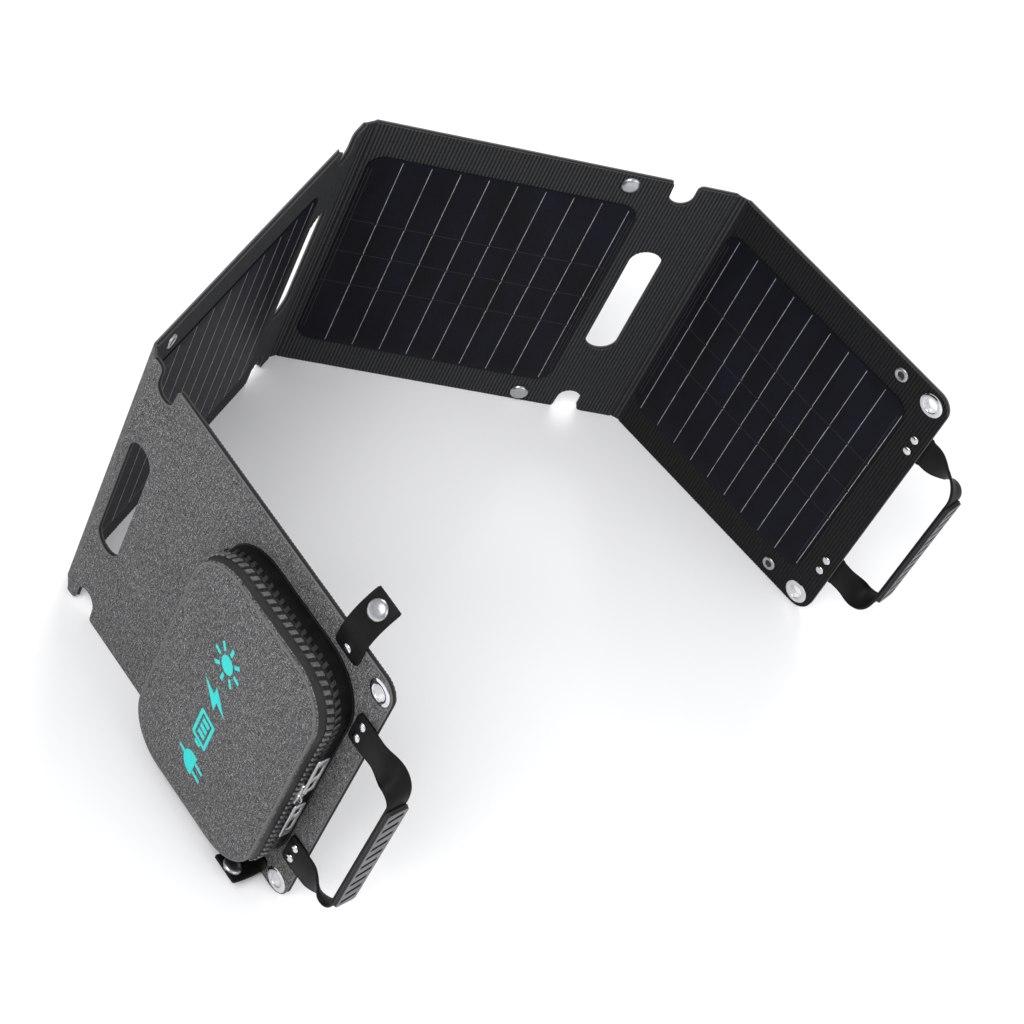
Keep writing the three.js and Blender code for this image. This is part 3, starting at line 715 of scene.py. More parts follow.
def strip(parts, left, right, low, high, depth=(-2.75, -2.6), kind=0):
    """A thin line on the film, its face a little smaller than its foot."""
    face, foot = depth
    points = [(left, foot, low), (right, foot, low), (right, foot, high), (left, foot, high),
              (left + 0.08, face, low + 0.1), (right - 0.08, face, low + 0.1),
              (right - 0.08, face, high - 0.1), (left + 0.08, face, high - 0.1)]
    faces = [(0, 1, 2, 3), (7, 6, 5, 4), (0, 4, 5, 1), (1, 5, 6, 2), (2, 6, 7, 3), (3, 7, 4, 0)]
    parts.add(points, faces, kind)


def even_lines(first, pitch, count):
    return [first + pitch * i for i in range(count)]


# Each busbar's place along its panel, its lowest and its highest point.
BUSBARS = {
    1: [(at, 28.6, 228.8) for at in even_lines(37, 19.8, 10)],
    2: [(at, 28.6, 228.8) for at in even_lines(21.5, 20.75, 10)],
    3: [(at, 28.6, 229.0) for at in even_lines(33.3, 20.75, 8)] + [(199.3, 30, 226.7)],
    4: [(at, 28.4, 229.0) for at in even_lines(15.6, 18.6, 9)] + [(184.9, 34, 222)],
}
CELL_BREAKS = (95.0, 128.5, 162.5)
BREAK_HALF = 1.2
BUSBAR_HALF = 0.27
# Beside a break, a short link carries the busbar on: its two sides from the busbar's middle.
LINK_SIDES = (0.28, 0.55)
LINK_HALF = 2.2
CELL_GAP_HALF = 0.22
# Two thin dark lines run up the film's sides, at these distances in from its edges.
SIDE_LINES = (1.6, 4.2)
SIDE_LINE_HALF = 0.16


def panel_cells(panel):
    label = f"panel_{panel}"
    left, right = CELLS_SPAN[panel]
    outline = rounded_rectangle(left, right, CELLS_LOW, CELLS_HIGH, CELLS_CORNER)
    film = plate_parts([outline], round_edges(*LAMINATE, 0.28))
    place(film.build(f"{label}_laminate", FRAMES[panel], [CELLS], 50), label, "solar_cells",
          f"{label}_cell_laminate")

    lines = Parts()
    for at, low, high in BUSBARS[panel]:
        stops = [low, *CELL_BREAKS, high]
        for a, b in zip(stops, stops[1:]):
            strip(lines, at - BUSBAR_HALF, at + BUSBAR_HALF, a + BREAK_HALF, b - BREAK_HALF)
        for z in CELL_BREAKS:
            strip(lines, at + LINK_SIDES[0], at + LINK_SIDES[1], z - LINK_HALF, z + LINK_HALF)
    place(lines.build(f"{label}_busbars", FRAMES[panel], [BUSBAR]), label, "solar_cells")

    gaps = Parts()
    for z in CELL_BREAKS:
        strip(gaps, left + 2.5, right - 2.5, z - CELL_GAP_HALF, z + CELL_GAP_HALF, (-2.68, -2.6))
    for inset in SIDE_LINES:
        frame_low, frame_high = CELLS_LOW + CELLS_CORNER, CELLS_HIGH - CELLS_CORNER
        for x in (left + inset, right - inset):
            strip(gaps, x - SIDE_LINE_HALF, x + SIDE_LINE_HALF, frame_low, frame_high,
                  (-2.72, -2.6), 1)
    frame_piece = gaps.build(f"{label}_cell_frame", FRAMES[panel], [CELL_GAP, BLACK_EDGE])
    place(frame_piece, label, "solar_cells")


# ---------------------------------------------------------------- folds

# The fabric's front and back depths at a crease and along the strip between two creases.
CREASE_DEPTHS = (-0.98, 1.08)
STRIP_DEPTHS = (-0.72, 0.8)
STRIP_RIB = 0.14
# The fabric beside a crease, as (distance back from it, front depth, back depth).
APPROACH = ((1.34, -1.78, 2.12), (0.95, -1.66, 2.0), (0.5, -1.25, 1.5))


def fold(label, near, near_at, far, far_at, sign):
    """The fabric of one fold, in two halves that meet in the middle of its strip. The strip's
    own x runs from the near crease to the far one, along `sign`."""
    body = f"fold_{label}"
    near_frame, far_frame, strip_frame = FRAMES[near], FRAMES[far], FRAMES[label]

    def station(matrix, x, front, back):
        return [matrix @ Vector((x, front, 0)), matrix @ Vector((x, back, 0))]

    def crease(panel_frame, panel_x, strip_x):
        pairs = zip(station(panel_frame, panel_x, *CREASE_DEPTHS),
                    station(strip_frame, strip_x, *CREASE_DEPTHS))
        return [(a + b) / 2 for a, b in pairs]

    def run(first, last):
        steps = 8
        line = []
        for i in range(steps + 1):
            x = first + (last - first) * i / steps
            rib = STRIP_RIB * (0.5 + 0.5 * math.cos(2 * math.pi * x / RIB_PITCH))
            line.append(station(strip_frame, sign * x, STRIP_DEPTHS[0] - rib, STRIP_DEPTHS[1]))
        return line

    def approach(panel_frame, at, way):
        return [station(panel_frame, at - way * back, front, rear) for back, front, rear in APPROACH]

    halves = {
        "near": approach(near_frame, near_at, sign) + [crease(near_frame, near_at, 0)]
        + run(0.6, STRIP_WIDTH / 2),
        "far": run(STRIP_WIDTH / 2, STRIP_WIDTH - 0.6)
        + [crease(far_frame, far_at, sign * STRIP_WIDTH)]
        + approach(far_frame, far_at, -sign)[::-1],
    }
    for side, stations in halves.items():
        parts = fold_half(stations)
        piece = parts.build(f"{body}_{side}", Matrix.Identity(4), [RIBBED, HEATHER, BLACK_EDGE], 50)
        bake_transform(piece)
        if side == "near":
            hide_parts(f"fold_strip_{label}")


def fold_half(stations):
    """A closed strip: ribbed black in front, grey behind, black at both ends."""
    levels = [HEIGHT * i / 12 for i in range(13)]
    loop = [front for front, _ in stations] + [back for _, back in reversed(stations)]
    count = len(loop)
    points = [(p.x, p.y, z) for z in levels for p in loop]
    front_sides = len(stations) - 1
    faces = ring_faces(len(levels), count)
    sides = [0] * front_sides + [2] + [1] * front_sides + [2]
    kinds = sides * (len(levels) - 1)
    top = (len(levels) - 1) * count
    for i in range(front_sides):
        j = count - 1 - i
        faces += [(i, i + 1, j - 1, j), (top + i, top + j, top + j - 1, top + i + 1)]
        kinds += [2, 2]
    parts = Parts()
    parts.add(points, faces, kinds)
    return parts


# ---------------------------------------------------------------- fittings

# A dome's outline from its crown to its rim, as shares of its radius and of its height.
DOME_SHAPE = ((0.0, 1.0), (0.3, 0.985), (0.58, 0.90), (0.8, 0.72), (0.93, 0.46), (0.985, 0.2),
              (1.0, 0.0))


def dome(radius, base, top, x, z, parts=None, steps=48, kind=0):
    """A domed head between two depths, flat side at the base."""
    rise = top - base
    profile = [(radius * across, base + rise * up) for across, up in DOME_SHAPE] + [(0.0, base)]
    return lathe_parts(profile, x, z, parts, kind, steps)


SNAP_RADIUS = 7.2
SNAP_RING_AT = {2: 24.5, 4: 167.5}
SNAP_CAP_AT = 191.5
RIVET_RADIUS, RIVET_RISE = 3.4, 1.35
EYELET_NECK = 7.6
# An eyelet's rolled flange, from its rim to its bore, as (radius, height off the fabric).
EYELET_ROLL = ((9.5, 0.0), (9.45, 0.45), (8.9, 0.85), (7.6, 1.1), (6.4, 1.18), (5.75, 1.0), (5.42, 0.6))


def eyelet(panel, up, node):
    """A tube with a rolled flange on both faces of the panel, open right through."""
    front, back = FRONT[0], BACK[1]
    profile = (
        [(radius, front - height) for radius, height in EYELET_ROLL]
        + [(radius, back + height) for radius, height in reversed(EYELET_ROLL)]
        + [(EYELET_NECK, back), (EYELET_NECK, front), (EYELET_ROLL[0][0], front)]
    )
    steps, bore = 64, len(EYELET_ROLL) - 1
    kinds = [int(level == bore) for level in range(len(profile) - 1) for _ in range(steps)]
    parts = lathe_parts(profile, EYELET_AT[panel], up, kind=kinds, steps=steps)
    piece = parts.build(node.replace("grommet", "eyelet"), FRAMES[panel], [CHROME, BORE])
    place(piece, f"panel_{panel}", "chrome", node)


def snap_ring(panel, along, up, node):
    """A rolled ring round a dark disc, painted shade for the socket's hollow."""
    face = FRONT[0]
    ring = lathe_parts([(2.9, face), (2.95, face - 0.8), (3.4, face - 1.12), (4.4, face - 1.2),
                        (5.2, face - 0.95), (5.6, face - 0.4), (5.6, face), (2.9, face)], along, up)
    lathe_parts([(0, face - 0.2), (2.95, face - 0.2), (2.95, face), (0, face)], along, up, ring, 1)
    place(ring.build(f"{node}_socket", FRAMES[panel], [SATIN_METAL, SOCKET_PAINTED_SHADE]), f"panel_{panel}",
          "chrome", node)


def rivet_heads(panel, spots, back, name, *nodes):
    """Domed heads on the front cover and on a strap's back face."""
    parts = Parts()
    for along, up in spots:
        for face, rise in ((FRONT[0], -RIVET_RISE), (back, RIVET_RISE)):
            dome(RIVET_RADIUS, face, face + rise, along, up, parts, 32)
    place(parts.build(name, FRAMES[panel], [CHROME]), f"panel_{panel}", "chrome", *nodes)


def fittings():
    for panel in (1, 4):
        for up, end in zip(EYELET_HEIGHTS, ("top", "bottom")):
            eyelet(panel, up, f"panel_{panel}_grommet_{end}")
    for panel, along in SNAP_RING_AT.items():
        for up, end in ((HEIGHT - 12, "top"), (12, "bottom")):
            snap_ring(panel, along, up, f"panel_{panel}_snap_ring_{end}")
    for up, end in ((HEIGHT - 9.5, "top"), (9.5, "bottom")):
        parts = dome(SNAP_RADIUS, FRONT[0], FRONT[0] - 2.9, SNAP_CAP_AT, up)
        place(parts.build(f"panel_3_snap_dome_{end}", FRAMES[3], [SATIN_METAL]), "panel_3", "chrome",
              f"panel_3_snap_cap_{end}")


# ---------------------------------------------------------------- handles

STRAP_THICK = 2.1
STRAP_MIDDLE = BACK[1] + GAP + 1.0
HANDLE_CREASE, HANDLE_STRAIGHT, HANDLE_CORNER, GRIP_HALF = 2.5, 20.0, 15.0, 8.0
TAB_HALF, TAB_INNER = 14.0, 15.5
RIVET_INSET = 9.0


def smoothstep(t):
    t = min(max(t, 0.0), 1.0)
    return t * t * (3 - 2 * t)


def handle_stations(edge, sign):
    """The strap from its upper tab, round the grip, to its lower tab. Each arm turns over and
    narrows steadily, so that the strap reaches the grip with its width across the panel."""
    upper = []
    arm = ARM_HEIGHTS[0]
    hinge = edge + sign * HANDLE_CREASE
    width = TAB_HALF - 1 - GRIP_HALF
    arm_length = HANDLE_STRAIGHT + HANDLE_CORNER * math.pi / 2

    def add(x, up, turn, twist, half):
        across = Vector((sign * math.sin(turn) * math.cos(twist), -math.sin(twist),
                         math.cos(turn) * math.cos(twist)))
        upper.append((Vector((x, STRAP_MIDDLE, up)), across.normalized(), half))

    def add_free(out, drop, turn, travelled):
        share = travelled / arm_length
        twist = math.pi / 2 * smoothstep((share - 0.12) / 0.88)
        add(hinge + sign * out, arm - drop, turn, twist, GRIP_HALF + width * (1 - smoothstep(share)))

    for back, half in ((TAB_INNER, 11.2), (TAB_INNER - 0.5, 12.6), (TAB_INNER - 1.3, 13.5),
                       (TAB_INNER - 2.6, TAB_HALF), (6, TAB_HALF), (0, TAB_HALF), (-1.2, 13.9)):
        add(edge - sign * back, arm, 0, 0, half)
    for i in range(11):
        out = HANDLE_STRAIGHT * i / 10
        add_free(out, 0, 0, out)
    for i in range(1, 17):
        turn = math.pi / 2 * i / 16
        add_free(HANDLE_STRAIGHT + HANDLE_CORNER * math.sin(turn), HANDLE_CORNER * (1 - math.cos(turn)),
                 turn, HANDLE_STRAIGHT + HANDLE_CORNER * turn)
    lower = [(Vector((c.x, c.y, HEIGHT - c.z)), Vector((a.x, a.y, -a.z)), half)
             for c, a, half in reversed(upper)]
    return upper + lower


SLOT_COUNT, SLOT_PITCH = 10, 11.4
SLOT_REACH, SLOT_HALF, SLOT_SLANT = 5.4, 1.8, -0.33


def grip_parts(face, sign):
    """A moulded pad with slanted slots, on the strap's outer side. `face` is the strap's face."""
    low, high = 70.5, 189.5
    half = GRIP_HALF + 0.7
    parts = plate_parts([rounded_rectangle(-half, half, low, high, 3)], round_edges(0.0, 1.9, 0.7))
    slots = []
    for i in range(SLOT_COUNT):
        middle = MIDDLE + SLOT_PITCH * (i - (SLOT_COUNT - 1) / 2)
        corners = ((-SLOT_REACH, -SLOT_HALF), (SLOT_REACH, -SLOT_HALF), (SLOT_REACH, SLOT_HALF),
                   (-SLOT_REACH, SLOT_HALF))
        slots.append([(x, middle + z + SLOT_SLANT * x) for x, z in corners])
    face_outline = rounded_rectangle(-half + 0.5, half - 0.5, low + 0.5, high - 0.5, 2.6)
    plate_parts([face_outline, *slots], round_edges(1.4, 3.25, 0.3), parts, kinds=(0, 0, 1))
    return parts.moved(lambda x, y, z: (face + sign * y, -sign * x + STRAP_MIDDLE, z))


def handle(panel, edge, sign):
    label = f"handle_{panel}"
    strap = ribbon_parts(handle_stations(edge, sign), STRAP_THICK)
    piece = strap.build(f"{label}_strap", FRAMES[panel], [LEATHER], 50)
    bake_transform(piece)
    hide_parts(f"{label}_tab_top", f"{label}_tab_bottom", f"{label}_loop")

    face = edge + sign * (HANDLE_CREASE + HANDLE_STRAIGHT + HANDLE_CORNER + STRAP_THICK / 2 - 0.05)
    grip = grip_parts(face, sign).build(f"{label}_grip_pad", FRAMES[panel], [BLACK_RUBBER, RUBBER])
    place(grip, label, "grip_rubber", f"{label}_grip")

    for up, end in zip(ARM_HEIGHTS, ("top", "bottom")):
        along = edge - sign * RIVET_INSET
        spots = [(along, up + way * RIVET_PITCH / 2) for way in (-1, 1)]
        rivet_heads(panel, spots, STRAP_MIDDLE + STRAP_THICK / 2, f"{label}_rivet_heads_{end}",
                    f"{label}_rivets_{end}")


# ---------------------------------------------------------------- snap straps

STRAP_HALF = 11.6
BARE = 1.1


def snap_strap(label, at, root_end, crease_at, way, rivet_at, length, lean_start, lean_end, cap_side):
    """A strap riveted to panel 1 at `root_end`, running `way` (+1 up, -1 down) to its crease and
    on to a curved flap. Leans are degrees from straight up towards the cells."""
    across = Vector((1, 0, 0))
    stations = []
    rounded = ((0.0, 8.6), (0.5, 10.0), (1.4, 11.0), (2.8, STRAP_HALF))
    for back, half in rounded:
        stations.append((Vector((at, STRAP_MIDDLE, root_end + way * back)), across, half))
    if abs(crease_at - root_end) > 6:
        stations.append((Vector((at, STRAP_MIDDLE, crease_at - way * 2.2)), across, STRAP_HALF))
    steps = 21
    reach = length - BARE
    lean = math.radians(lean_start)
    here = Vector((at, STRAP_MIDDLE - BARE * math.sin(lean), crease_at + BARE * math.cos(lean)))
    for i in range(steps + 1):
        stations.append((here.copy(), across, STRAP_HALF - 0.3))
        lean = math.radians(lean_start + (lean_end - lean_start) * (i + 0.5) / steps)
        here += Vector((0, -math.sin(lean), math.cos(lean))) * (reach / steps)
    last = stations[-1]
    stations[-1] = (last[0], across, STRAP_HALF - 0.9)
    piece = ribbon_parts(stations, STRAP_THICK - 0.1).build(f"{label}_strap", FRAMES[1], [LEATHER], 50)
    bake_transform(piece)
    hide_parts(f"{label}_root", f"{label}_flap")

    spot = stations[-7]
    forward = (stations[-6][0] - stations[-8][0]).normalized()
    outward = Vector((0, forward.z, -forward.y)) * cap_side
    seat = Matrix((across, -outward, across.cross(-outward))).transposed().to_4x4()
    seat.translation = spot[0] + outward * (STRAP_THICK / 2 - 0.05)
    cap = dome(SNAP_RADIUS, 0.0, -3.1, 0, 0)
    place(cap.build(f"{label}_snap_dome", FRAMES[1] @ seat, [SATIN_METAL]), label, "chrome",
          f"{label}_snap_cap")
    rivet_heads(1, [(at, rivet_at)], STRAP_MIDDLE + STRAP_THICK / 2, f"{label}_rivet_head",
                f"{label}_rivet")


# ---------------------------------------------------------------- pouch

POUCH_NEAR, POUCH_FAR, POUCH_LOW, POUCH_HIGH, POUCH_CORNER = 18.5, 152.5, 17.5, 236.5, 38.0
SEAM = 17.85
HINGE_LOW, HINGE_HIGH = 62.0, 198.0


def pouch_ring(inset, steps=14):
    corner = max(POUCH_CORNER - inset, 5.0)
    return rounded_rectangle(POUCH_NEAR + inset, POUCH_FAR - inset, POUCH_LOW + inset,
                             POUCH_HIGH - inset, corner, steps)


def even_path(loop, pitch):
    """Points a steady distance apart along a closed loop, each with its direction."""
    closed = loop + loop[:1]
    lengths = [math.dist(a, b) for a, b in zip(closed, closed[1:])]
    total = sum(lengths)
    count = round(total / pitch)
    spots = []
    step = total / count
    segment, start = 0, 0.0
    for i in range(count):
        travelled = i * step
        while start + lengths[segment] < travelled:
            start += lengths[segment]
            segment += 1
        a, b = Vector(closed[segment]), Vector(closed[segment + 1])
        share = (travelled - start) / max(lengths[segment], 1e-9)
        spots.append((a.lerp(b, share), (b - a).normalized()))
    return spots


def shell_parts(profile, kinds, closed=False):
    """Rings of the pouch's outline through (inset, depth) pairs. The rings either close into a
    band or have a face at both ends. `kinds` has each band's material."""
    parts = Parts()
    rings = [pouch_ring(inset) for inset, _ in profile]
    levels, count = len(rings), len(rings[0])
    points = [(x, depth, z) for ring, (_, depth) in zip(rings, profile) for x, z in ring]
    faces = ring_faces(levels, count, closed)
    sorts = [kind for kind in kinds for _ in range(count)]
    if not closed:
        faces += end_faces(levels, count)
        sorts += [kinds[0], kinds[-1]]
    parts.add(points, faces, sorts)
    return parts


def pouch_shells():
    base_profile = [(0.0, 2.3), (-0.25, 4.2), (-0.3, 9.0), (-0.1, 13.5), (0.25, 15.7), (2.0, 15.7),
                    (2.0, 4.2), (3.2, 3.7)]
    base = shell_parts(base_profile, [0] * 4 + [1] * 3)
    tube_parts([(x, 3.1, z) for x, z in pouch_ring(-0.3, 10)], 0.8, base, 2)
    piece = base.build("pouch_base_wall", FRAMES[1], [LEATHER, TAPE, LEATHER], 50)
    place(piece, "panel_1", "grey_fabric", "pouch_base")

    lid_profile = [(5.2, 29.9), (4.0, 29.3), (2.4, 20.1), (0.25, 20.1), (0.1, 22.0), (0.5, 25.0),
                   (1.1, 28.0), (1.7, 29.6), (2.4, 30.5), (3.6, 30.95), (5.2, 31.0),
                   (6.0, 30.8), (6.5, 30.62), (7.0, 30.8), (7.9, 31.15), (10.5, 31.42), (15.0, 31.6),
                   (24.0, 31.66), (40.0, 31.66)]
    lid = shell_parts(lid_profile, [1] * 3 + [2] * 3 + [0] * 12)
    piece = lid.build("pouch_lid_shell", FRAMES[1], [HEATHER, TAPE, SATIN], 60)
    place(piece, "pouch_lid", "grey_fabric", "pouch_lid")

    cord = tube_parts([(x, 30.15, z) for x, z in pouch_ring(2.1, 16)], 0.95, sides=10)
    place(cord.build("pouch_lid_piping", FRAMES[1], [PIPING], 60), "pouch_lid", "grey_fabric")


TOOTH_PITCH, TOOTH_HALF = 6.0, 1.75


def zip_tooth(parts, spot, forward, low, high, slant):
    """A slanted, tapered tooth standing on the pouch's wall."""
    outward = Vector((forward.y, -forward.x))
    corners = []
    for depth, shift, shorten in ((low, -slant / 2, 0.45), (high, slant / 2, -0.45)):
        for way in (-1, 1):
            for out, narrow, inward in ((0.1, 1.0, 0.0), (1.0, 0.9, 0.35), (1.35, 0.6, 1.0)):
                at = spot + forward * (shift + way * TOOTH_HALF * narrow) + outward * out
                corners.append((at.x, depth + shorten * inward, at.y))
    parts.add(corners, [
        (0, 1, 4, 3), (1, 2, 5, 4), (6, 9, 10, 7), (7, 10, 11, 8), (0, 6, 7, 1), (1, 7, 8, 2),
        (3, 4, 10, 9), (4, 5, 11, 10), (2, 8, 11, 5), (0, 3, 9, 6),
    ])


def zip_rows():
    path = even_path(pouch_ring(-0.1, 20), TOOTH_PITCH)
    # The upper row's lighter teeth are a painted highlight; the lower row has the teeth's own black.
    rows = (("lower", "panel_1", (15.5, SEAM - 0.1), 12.7, SEAM - 0.25, 1.4, ZIP_BLACK),
            ("upper", "pouch_lid", (SEAM + 0.1, 20.3), SEAM + 0.25, 22.9, -1.4, ZIP_TEETH_PAINTED_HIGHLIGHT))
    for i, (side, body, tape, low, high, slant, look) in enumerate(rows):
        place(shell_band(*tape).build(f"zip_tape_{side}", FRAMES[1], [TAPE]), body, "zip_plastic",
              f"pouch_zip_{side}")
        teeth = Parts()
        for spot, forward in path:
            behind_hinge = spot.x > POUCH_FAR - 4 and HINGE_LOW - 4 < spot.y < HINGE_HIGH + 4
            if not behind_hinge:
                zip_tooth(teeth, spot + forward * (TOOTH_PITCH / 2 * i), forward, low, high, slant)
        place(teeth.build(f"zip_teeth_{side}", FRAMES[1], [look], 30), body, "zip_plastic")


def shell_band(low, high):
    """A closed band of tape between two depths, outside the pouch's inner wall."""
    rings = [(-0.35, low), (-0.5, (low + high) / 2), (-0.35, high), (1.6, high), (1.6, low)]
    return shell_parts(rings, [0] * len(rings), closed=True)


def hinge_flap():
    """The fabric that joins the lid to the base along the straight far side."""
    parts = Parts()
    steps = 14
    section = []
    for i in range(steps + 1):
        y = 12.0 + 12.0 * i / steps
        bulge = 0.5 * math.exp(-((y - SEAM) / 2.2) ** 2)
        section.append((POUCH_FAR + 0.95 + bulge, y))
    section += [(POUCH_FAR - 0.1, 24.0), (POUCH_FAR - 0.1, 12.0)]
    levels = [HINGE_LOW + (HINGE_HIGH - HINGE_LOW) * i / 10 for i in range(11)]
    count = len(section)
    points = [(x, y, z) for z in levels for x, y in section]
    parts.add(points, ring_faces(len(levels), count) + end_faces(len(levels), count))
    piece = parts.build("pouch_hinge_fabric", FRAMES[1], [BLACK_EDGE], 50)
    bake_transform(piece)


SLIDER_FACE = POUCH_NEAR - 1.2
SLIDER_APART = 5.6


def zip_sliders():
    for i, way in ((1, 1), (2, -1)):
        middle = MIDDLE + way * SLIDER_APART
        waist = arc(0, 2.4, 3.2, 20, 160, 8) + [(-2.5, 0)] + arc(0, -2.4, 3.2, 200, 340, 8) + [(2.5, 0)]
        body = plate_parts([waist], round_edges(0.0, 3.0, 0.7))
        body.moved(lambda x, y, z: (SLIDER_FACE - y + 0.6, SEAM + x, middle + z))
        arch = [Vector((SLIDER_FACE - 2.2 - 1.7 * math.sin(t), SEAM, middle - way * 2.6 * math.cos(t)))
                for t in (math.pi * k / 8 for k in range(9))]
        tube_parts([tuple(p) for p in arch], 0.65, body, closed=False)
        slider = body.build(f"zip_slider_{i}_body", FRAMES[1], [SATIN_METAL], 35)
        place(slider, f"zip_slider_{i}", "chrome", f"zip_slider_{i}")

        start, end = 2.6, 41.4
        windows = [(start + 4.8, start + 11.8), (start + 19.0, start + 30.5)]
        outline = rounded_rectangle(-4.5, 4.5, start, end, 1.6, 5)
        holes = [rounded_rectangle(-2.0, 2.0, low, high, 0.8, 4) for low, high in windows]
        pull = plate_parts([outline, *holes], round_edges(-0.6, 0.6, 0.3))
        bail = SLIDER_FACE - 4.3
        pull.moved(lambda x, y, z: (bail - y, SEAM + x, middle + way * z))
        plate = pull.build(f"zip_pull_{i}_plate", FRAMES[1], [SATIN_METAL], 35)
        place(plate, f"zip_pull_{i}", "chrome", f"zip_pull_{i}")


# ---------------------------------------------------------------- print on the lid

def stroke(points, half, close=False):
    """A line of even width through (across, up) points as outline loops of short quads."""
    loops = []
    chain = points + points[:1] if close else points
    for a, b in zip(chain, chain[1:]):
        forward = (Vector(b) - Vector(a)).normalized()
        side = Vector((-forward.y, forward.x)) * half
        reach = forward * half * 0.4
        a2, b2 = Vector(a) - reach, Vector(b) + reach
        loops.append([tuple(a2 - side), tuple(b2 - side), tuple(b2 + side), tuple(a2 + side)])
    return loops


def sun_sign():
    disc = [circle(0, 0, 5.4, 28)]
    rays = []
    for i in range(8):
        angle = math.pi * i / 4
        inner = (7.8 * math.cos(angle), 7.8 * math.sin(angle))
        outer = (12.0 * math.cos(angle), 12.0 * math.sin(angle))
        rays += stroke([inner, outer], 1.1)
    return disc + rays


def bolt_sign():
    return [[(2.5, 12), (-7.5, -1.5), (-1.2, -1.5), (-3.2, -12), (7.5, 2.6), (1.0, 2.6)]]


def battery_sign():
    case = stroke([(-11, -6), (8.5, -6), (8.5, 6), (-11, 6)], 1.1, close=True)
    bars = [[(x, -3.2), (x + 3.2, -3.2), (x + 3.2, 3.2), (x, 3.2)] for x in (-8.2, -3.4, 1.4)]
    return case + bars + [[(10.2, -2.6), (12.4, -2.6), (12.4, 2.6), (10.2, 2.6)]]


def plug_sign():
    body = [arc(0, 0, 7.4, 180, 360, 14) + [(7.4, 3.2), (-7.4, 3.2)]]
    prongs = stroke([(-3.4, 4), (-3.4, 10.4)], 1.1) + stroke([(3.4, 4), (3.4, 10.4)], 1.1)
    return body + prongs + stroke([(0, -6.6), (0, -12)], 1.1)


SIGN_SPOTS = ((98, 170), (96, 134), (93.5, 97.5), (91.5, 61))
SIGN_TALL, SIGN_WIDE, SIGN_SLANT = 1.12, 1.3, 0.25
PRINT_FOOT, PRINT_FACE = 31.5, 31.78


def lid_print():
    """Four plain signs in a row: sun, bolt, battery and plug. They read down the lid with their
    tops towards the handle. Each stroke is a hair above the last, so that none share a face."""
    marks = Parts()
    signs = (sun_sign(), bolt_sign(), battery_sign(), plug_sign())
    for (along, up), loops in zip(SIGN_SPOTS, signs):
        for i, loop in enumerate(loops):
            top = PRINT_FACE + 0.004 * i
            placed = [(along - b * SIGN_TALL, up - a * SIGN_WIDE - b * SIGN_SLANT) for a, b in loop]
            plate_parts([placed], [(0, PRINT_FOOT), (0, top - 0.03), (0.05, top)], marks)
    place(marks.build("pouch_lid_print", FRAMES[1], [INK], 30), "pouch_lid", "grey_fabric")


# ---------------------------------------------------------------- regulator

def regulator():
    floor = BACK[1] + GAP
    left, right, low, high = 104.0, 146.0, 82.0, 178.0
    outline = rounded_rectangle(left, right, low, high, 5, 6)
    lower = plate_parts([outline], round_edges(floor + 2.2, floor + 8.6, 1.2))
    lower_case = lower.build("regulator_lower_case", FRAMES[1], [CASE], 50)
    place(lower_case, "panel_1", "case_plastic", "regulator_case")

    upper = plate_parts([outline], round_edges(floor + 8.8, floor + 12.2, 1.2))
    for i in range(7):
        at = 108 + 4.4 * i
        groove = rounded_rectangle(at, at + 1.6, 150, 170, 0.7, 4)
        plate_parts([groove], round_edges(floor + 12.05, floor + 12.5, 0.2), upper)
    dome(1.6, floor + 12.1, floor + 12.8, 110, 92, upper, 24, 1)
    place(upper.build("regulator_upper_case", FRAMES[1], [CASE, LAMP], 40), "panel_1", "case_plastic",
          "regulator_cover")

    block = plate_parts([rounded_rectangle(left - 5, left + 0.2, low + 18, high - 18, 1, 4)],
                        round_edges(floor + 2.8, floor + 8.5, 0.4))
    for i in range(3):
        at = 108 + 15.5 * i
        frame_loop = rounded_rectangle(-1.9, 1.9, at - 5.2, at + 5.2, 0.6, 4)
        slot_loop = rounded_rectangle(-1.25, 1.25, at - 4.4, at + 4.4, 0.4, 4)
        rim = plate_parts([frame_loop, slot_loop], round_edges(-0.25, 0.2, 0.1), kinds=(1, 1, 1))
        rim.moved(lambda x, y, z: (left - 5 + y, floor + 5.6 + x, z))
        block.add(rim.points, rim.faces, rim.kinds)
    sockets = block.build("regulator_sockets", FRAMES[1], [CASE, PORT], 40)
    place(sockets, "panel_1", "chrome", "regulator_ports")


def make_kit():
    for panel in (1, 2, 3, 4):
        panel_covers(panel)
        panel_cells(panel)
    fold("34", 3, LENGTH[3] - crease_offset("34"), 4, crease_offset("34"), 1)
    fold("23", 3, crease_offset("23"), 2, LENGTH[2] - crease_offset("23"), -1)
    fold("12", 2, crease_offset("12"), 1, LENGTH[1] - crease_offset("12"), -1)
    fittings()
    handle(4, LENGTH[4], 1)
    handle(1, 0.0, -1)
    snap_strap("strap_top", at=44.0, root_end=244.5, crease_at=HEIGHT + 1.8, way=1,
               rivet_at=HEIGHT - 10, length=35.0, lean_start=10, lean_end=50, cap_side=1)
    snap_strap("strap_bottom", at=33.5, root_end=16.9, crease_at=7.0, way=-1,
               rivet_at=13.0, length=26.0, lean_start=262, lean_end=298, cap_side=-1)
    pouch_shells()
    zip_rows()
    hinge_flap()
    zip_sliders()
    lid_print()
    regulator()


# ---------------------------------------------------------------- studio

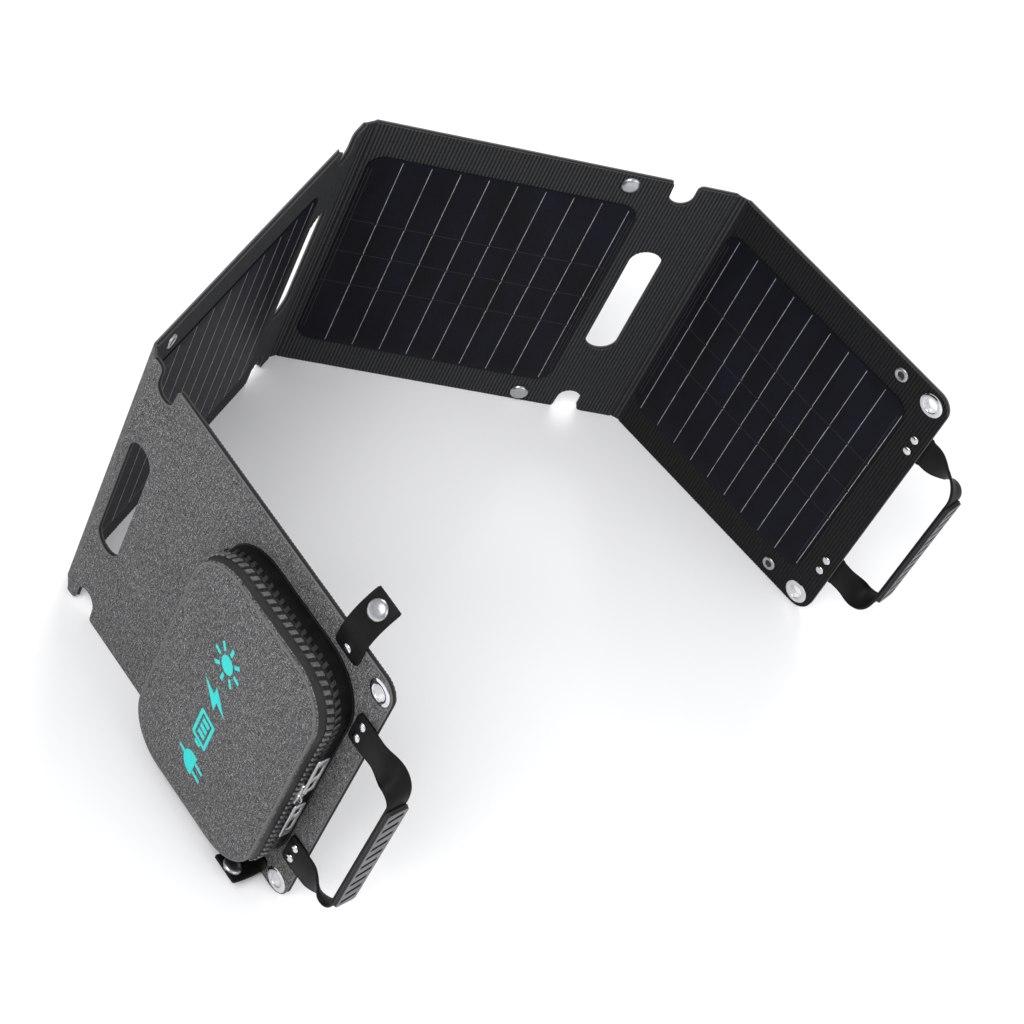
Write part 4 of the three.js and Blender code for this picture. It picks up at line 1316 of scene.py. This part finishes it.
def studio_floor():
    half = 6.0
    mesh = bpy.data.meshes.new("floor")
    corners = [(-half, -half, 0), (half, -half, 0), (half, half, 0), (-half, half, 0)]
    mesh.from_pydata(corners, [], [(0, 1, 2, 3)])
    paper = bpy.data.materials.new("studio_paper")
    paper.use_nodes = True
    shader = paper.node_tree.nodes["Principled BSDF"]
    shader.inputs["Base Color"].default_value = (0.92, 0.92, 0.92, 1)
    shader.inputs["Roughness"].default_value = 0.9
    shader.inputs["Specular IOR Level"].default_value = 0.1
    mesh.materials.append(paper)
    floor = linked_object("studio_floor", mesh)
    floor.location.z = -0.0005


# Each light's name, place, aim, width in metres and power in watts.
LIGHTS = (
    ("key", (-1.6, -1.2, 2.6), (0, 0, 0.1), 1.6, 60),
    ("fill", (1.9, -1.9, 1.8), (0, 0, 0.1), 2.2, 26),
    ("rim", (0.6, 2.6, 2.2), (0, 0, 0.15), 1.6, 40),
)


def area_light(name, at, target, size, power):
    light = bpy.data.lights.new(name, "AREA")
    light.size = size
    light.energy = power
    made = linked_object(name, light)
    made.location = at
    made.rotation_euler = (Vector(target) - Vector(at)).to_track_quat("-Z", "Y").to_euler()


def studio():
    bpy.context.scene.view_settings.view_transform = "Standard"
    studio_floor()
    for light in LIGHTS:
        area_light(*light)
    world = bpy.data.worlds.new("studio_world")
    world.use_nodes = True
    world.node_tree.nodes["Background"].inputs["Color"].default_value = (0.96, 0.97, 1.0, 1)
    world.node_tree.nodes["Background"].inputs["Strength"].default_value = 0.7
    bpy.context.scene.world = world


CAMERA_AT = (-0.5759, -1.1197, 1.6392)
CAMERA_RIGHT = Vector((0.94638, -0.03729, 0.32089))
CAMERA_UP = Vector((-0.15905, 0.81082, 0.56328))
CAMERA_LENS, CAMERA_SENSOR = 102.6, 36.0


def photo_camera():
    lens = bpy.data.cameras.new("photo_camera")
    lens.lens = CAMERA_LENS
    lens.sensor_width = CAMERA_SENSOR
    lens.clip_end = 30.0
    made = linked_object("photo_camera", lens)
    facing_back = CAMERA_RIGHT.cross(CAMERA_UP)
    made.matrix_world = Matrix((CAMERA_RIGHT, CAMERA_UP, facing_back)).transposed().to_4x4()
    made.location = CAMERA_AT
    bpy.context.scene.camera = made


photo_camera()
studio()
make_kit()
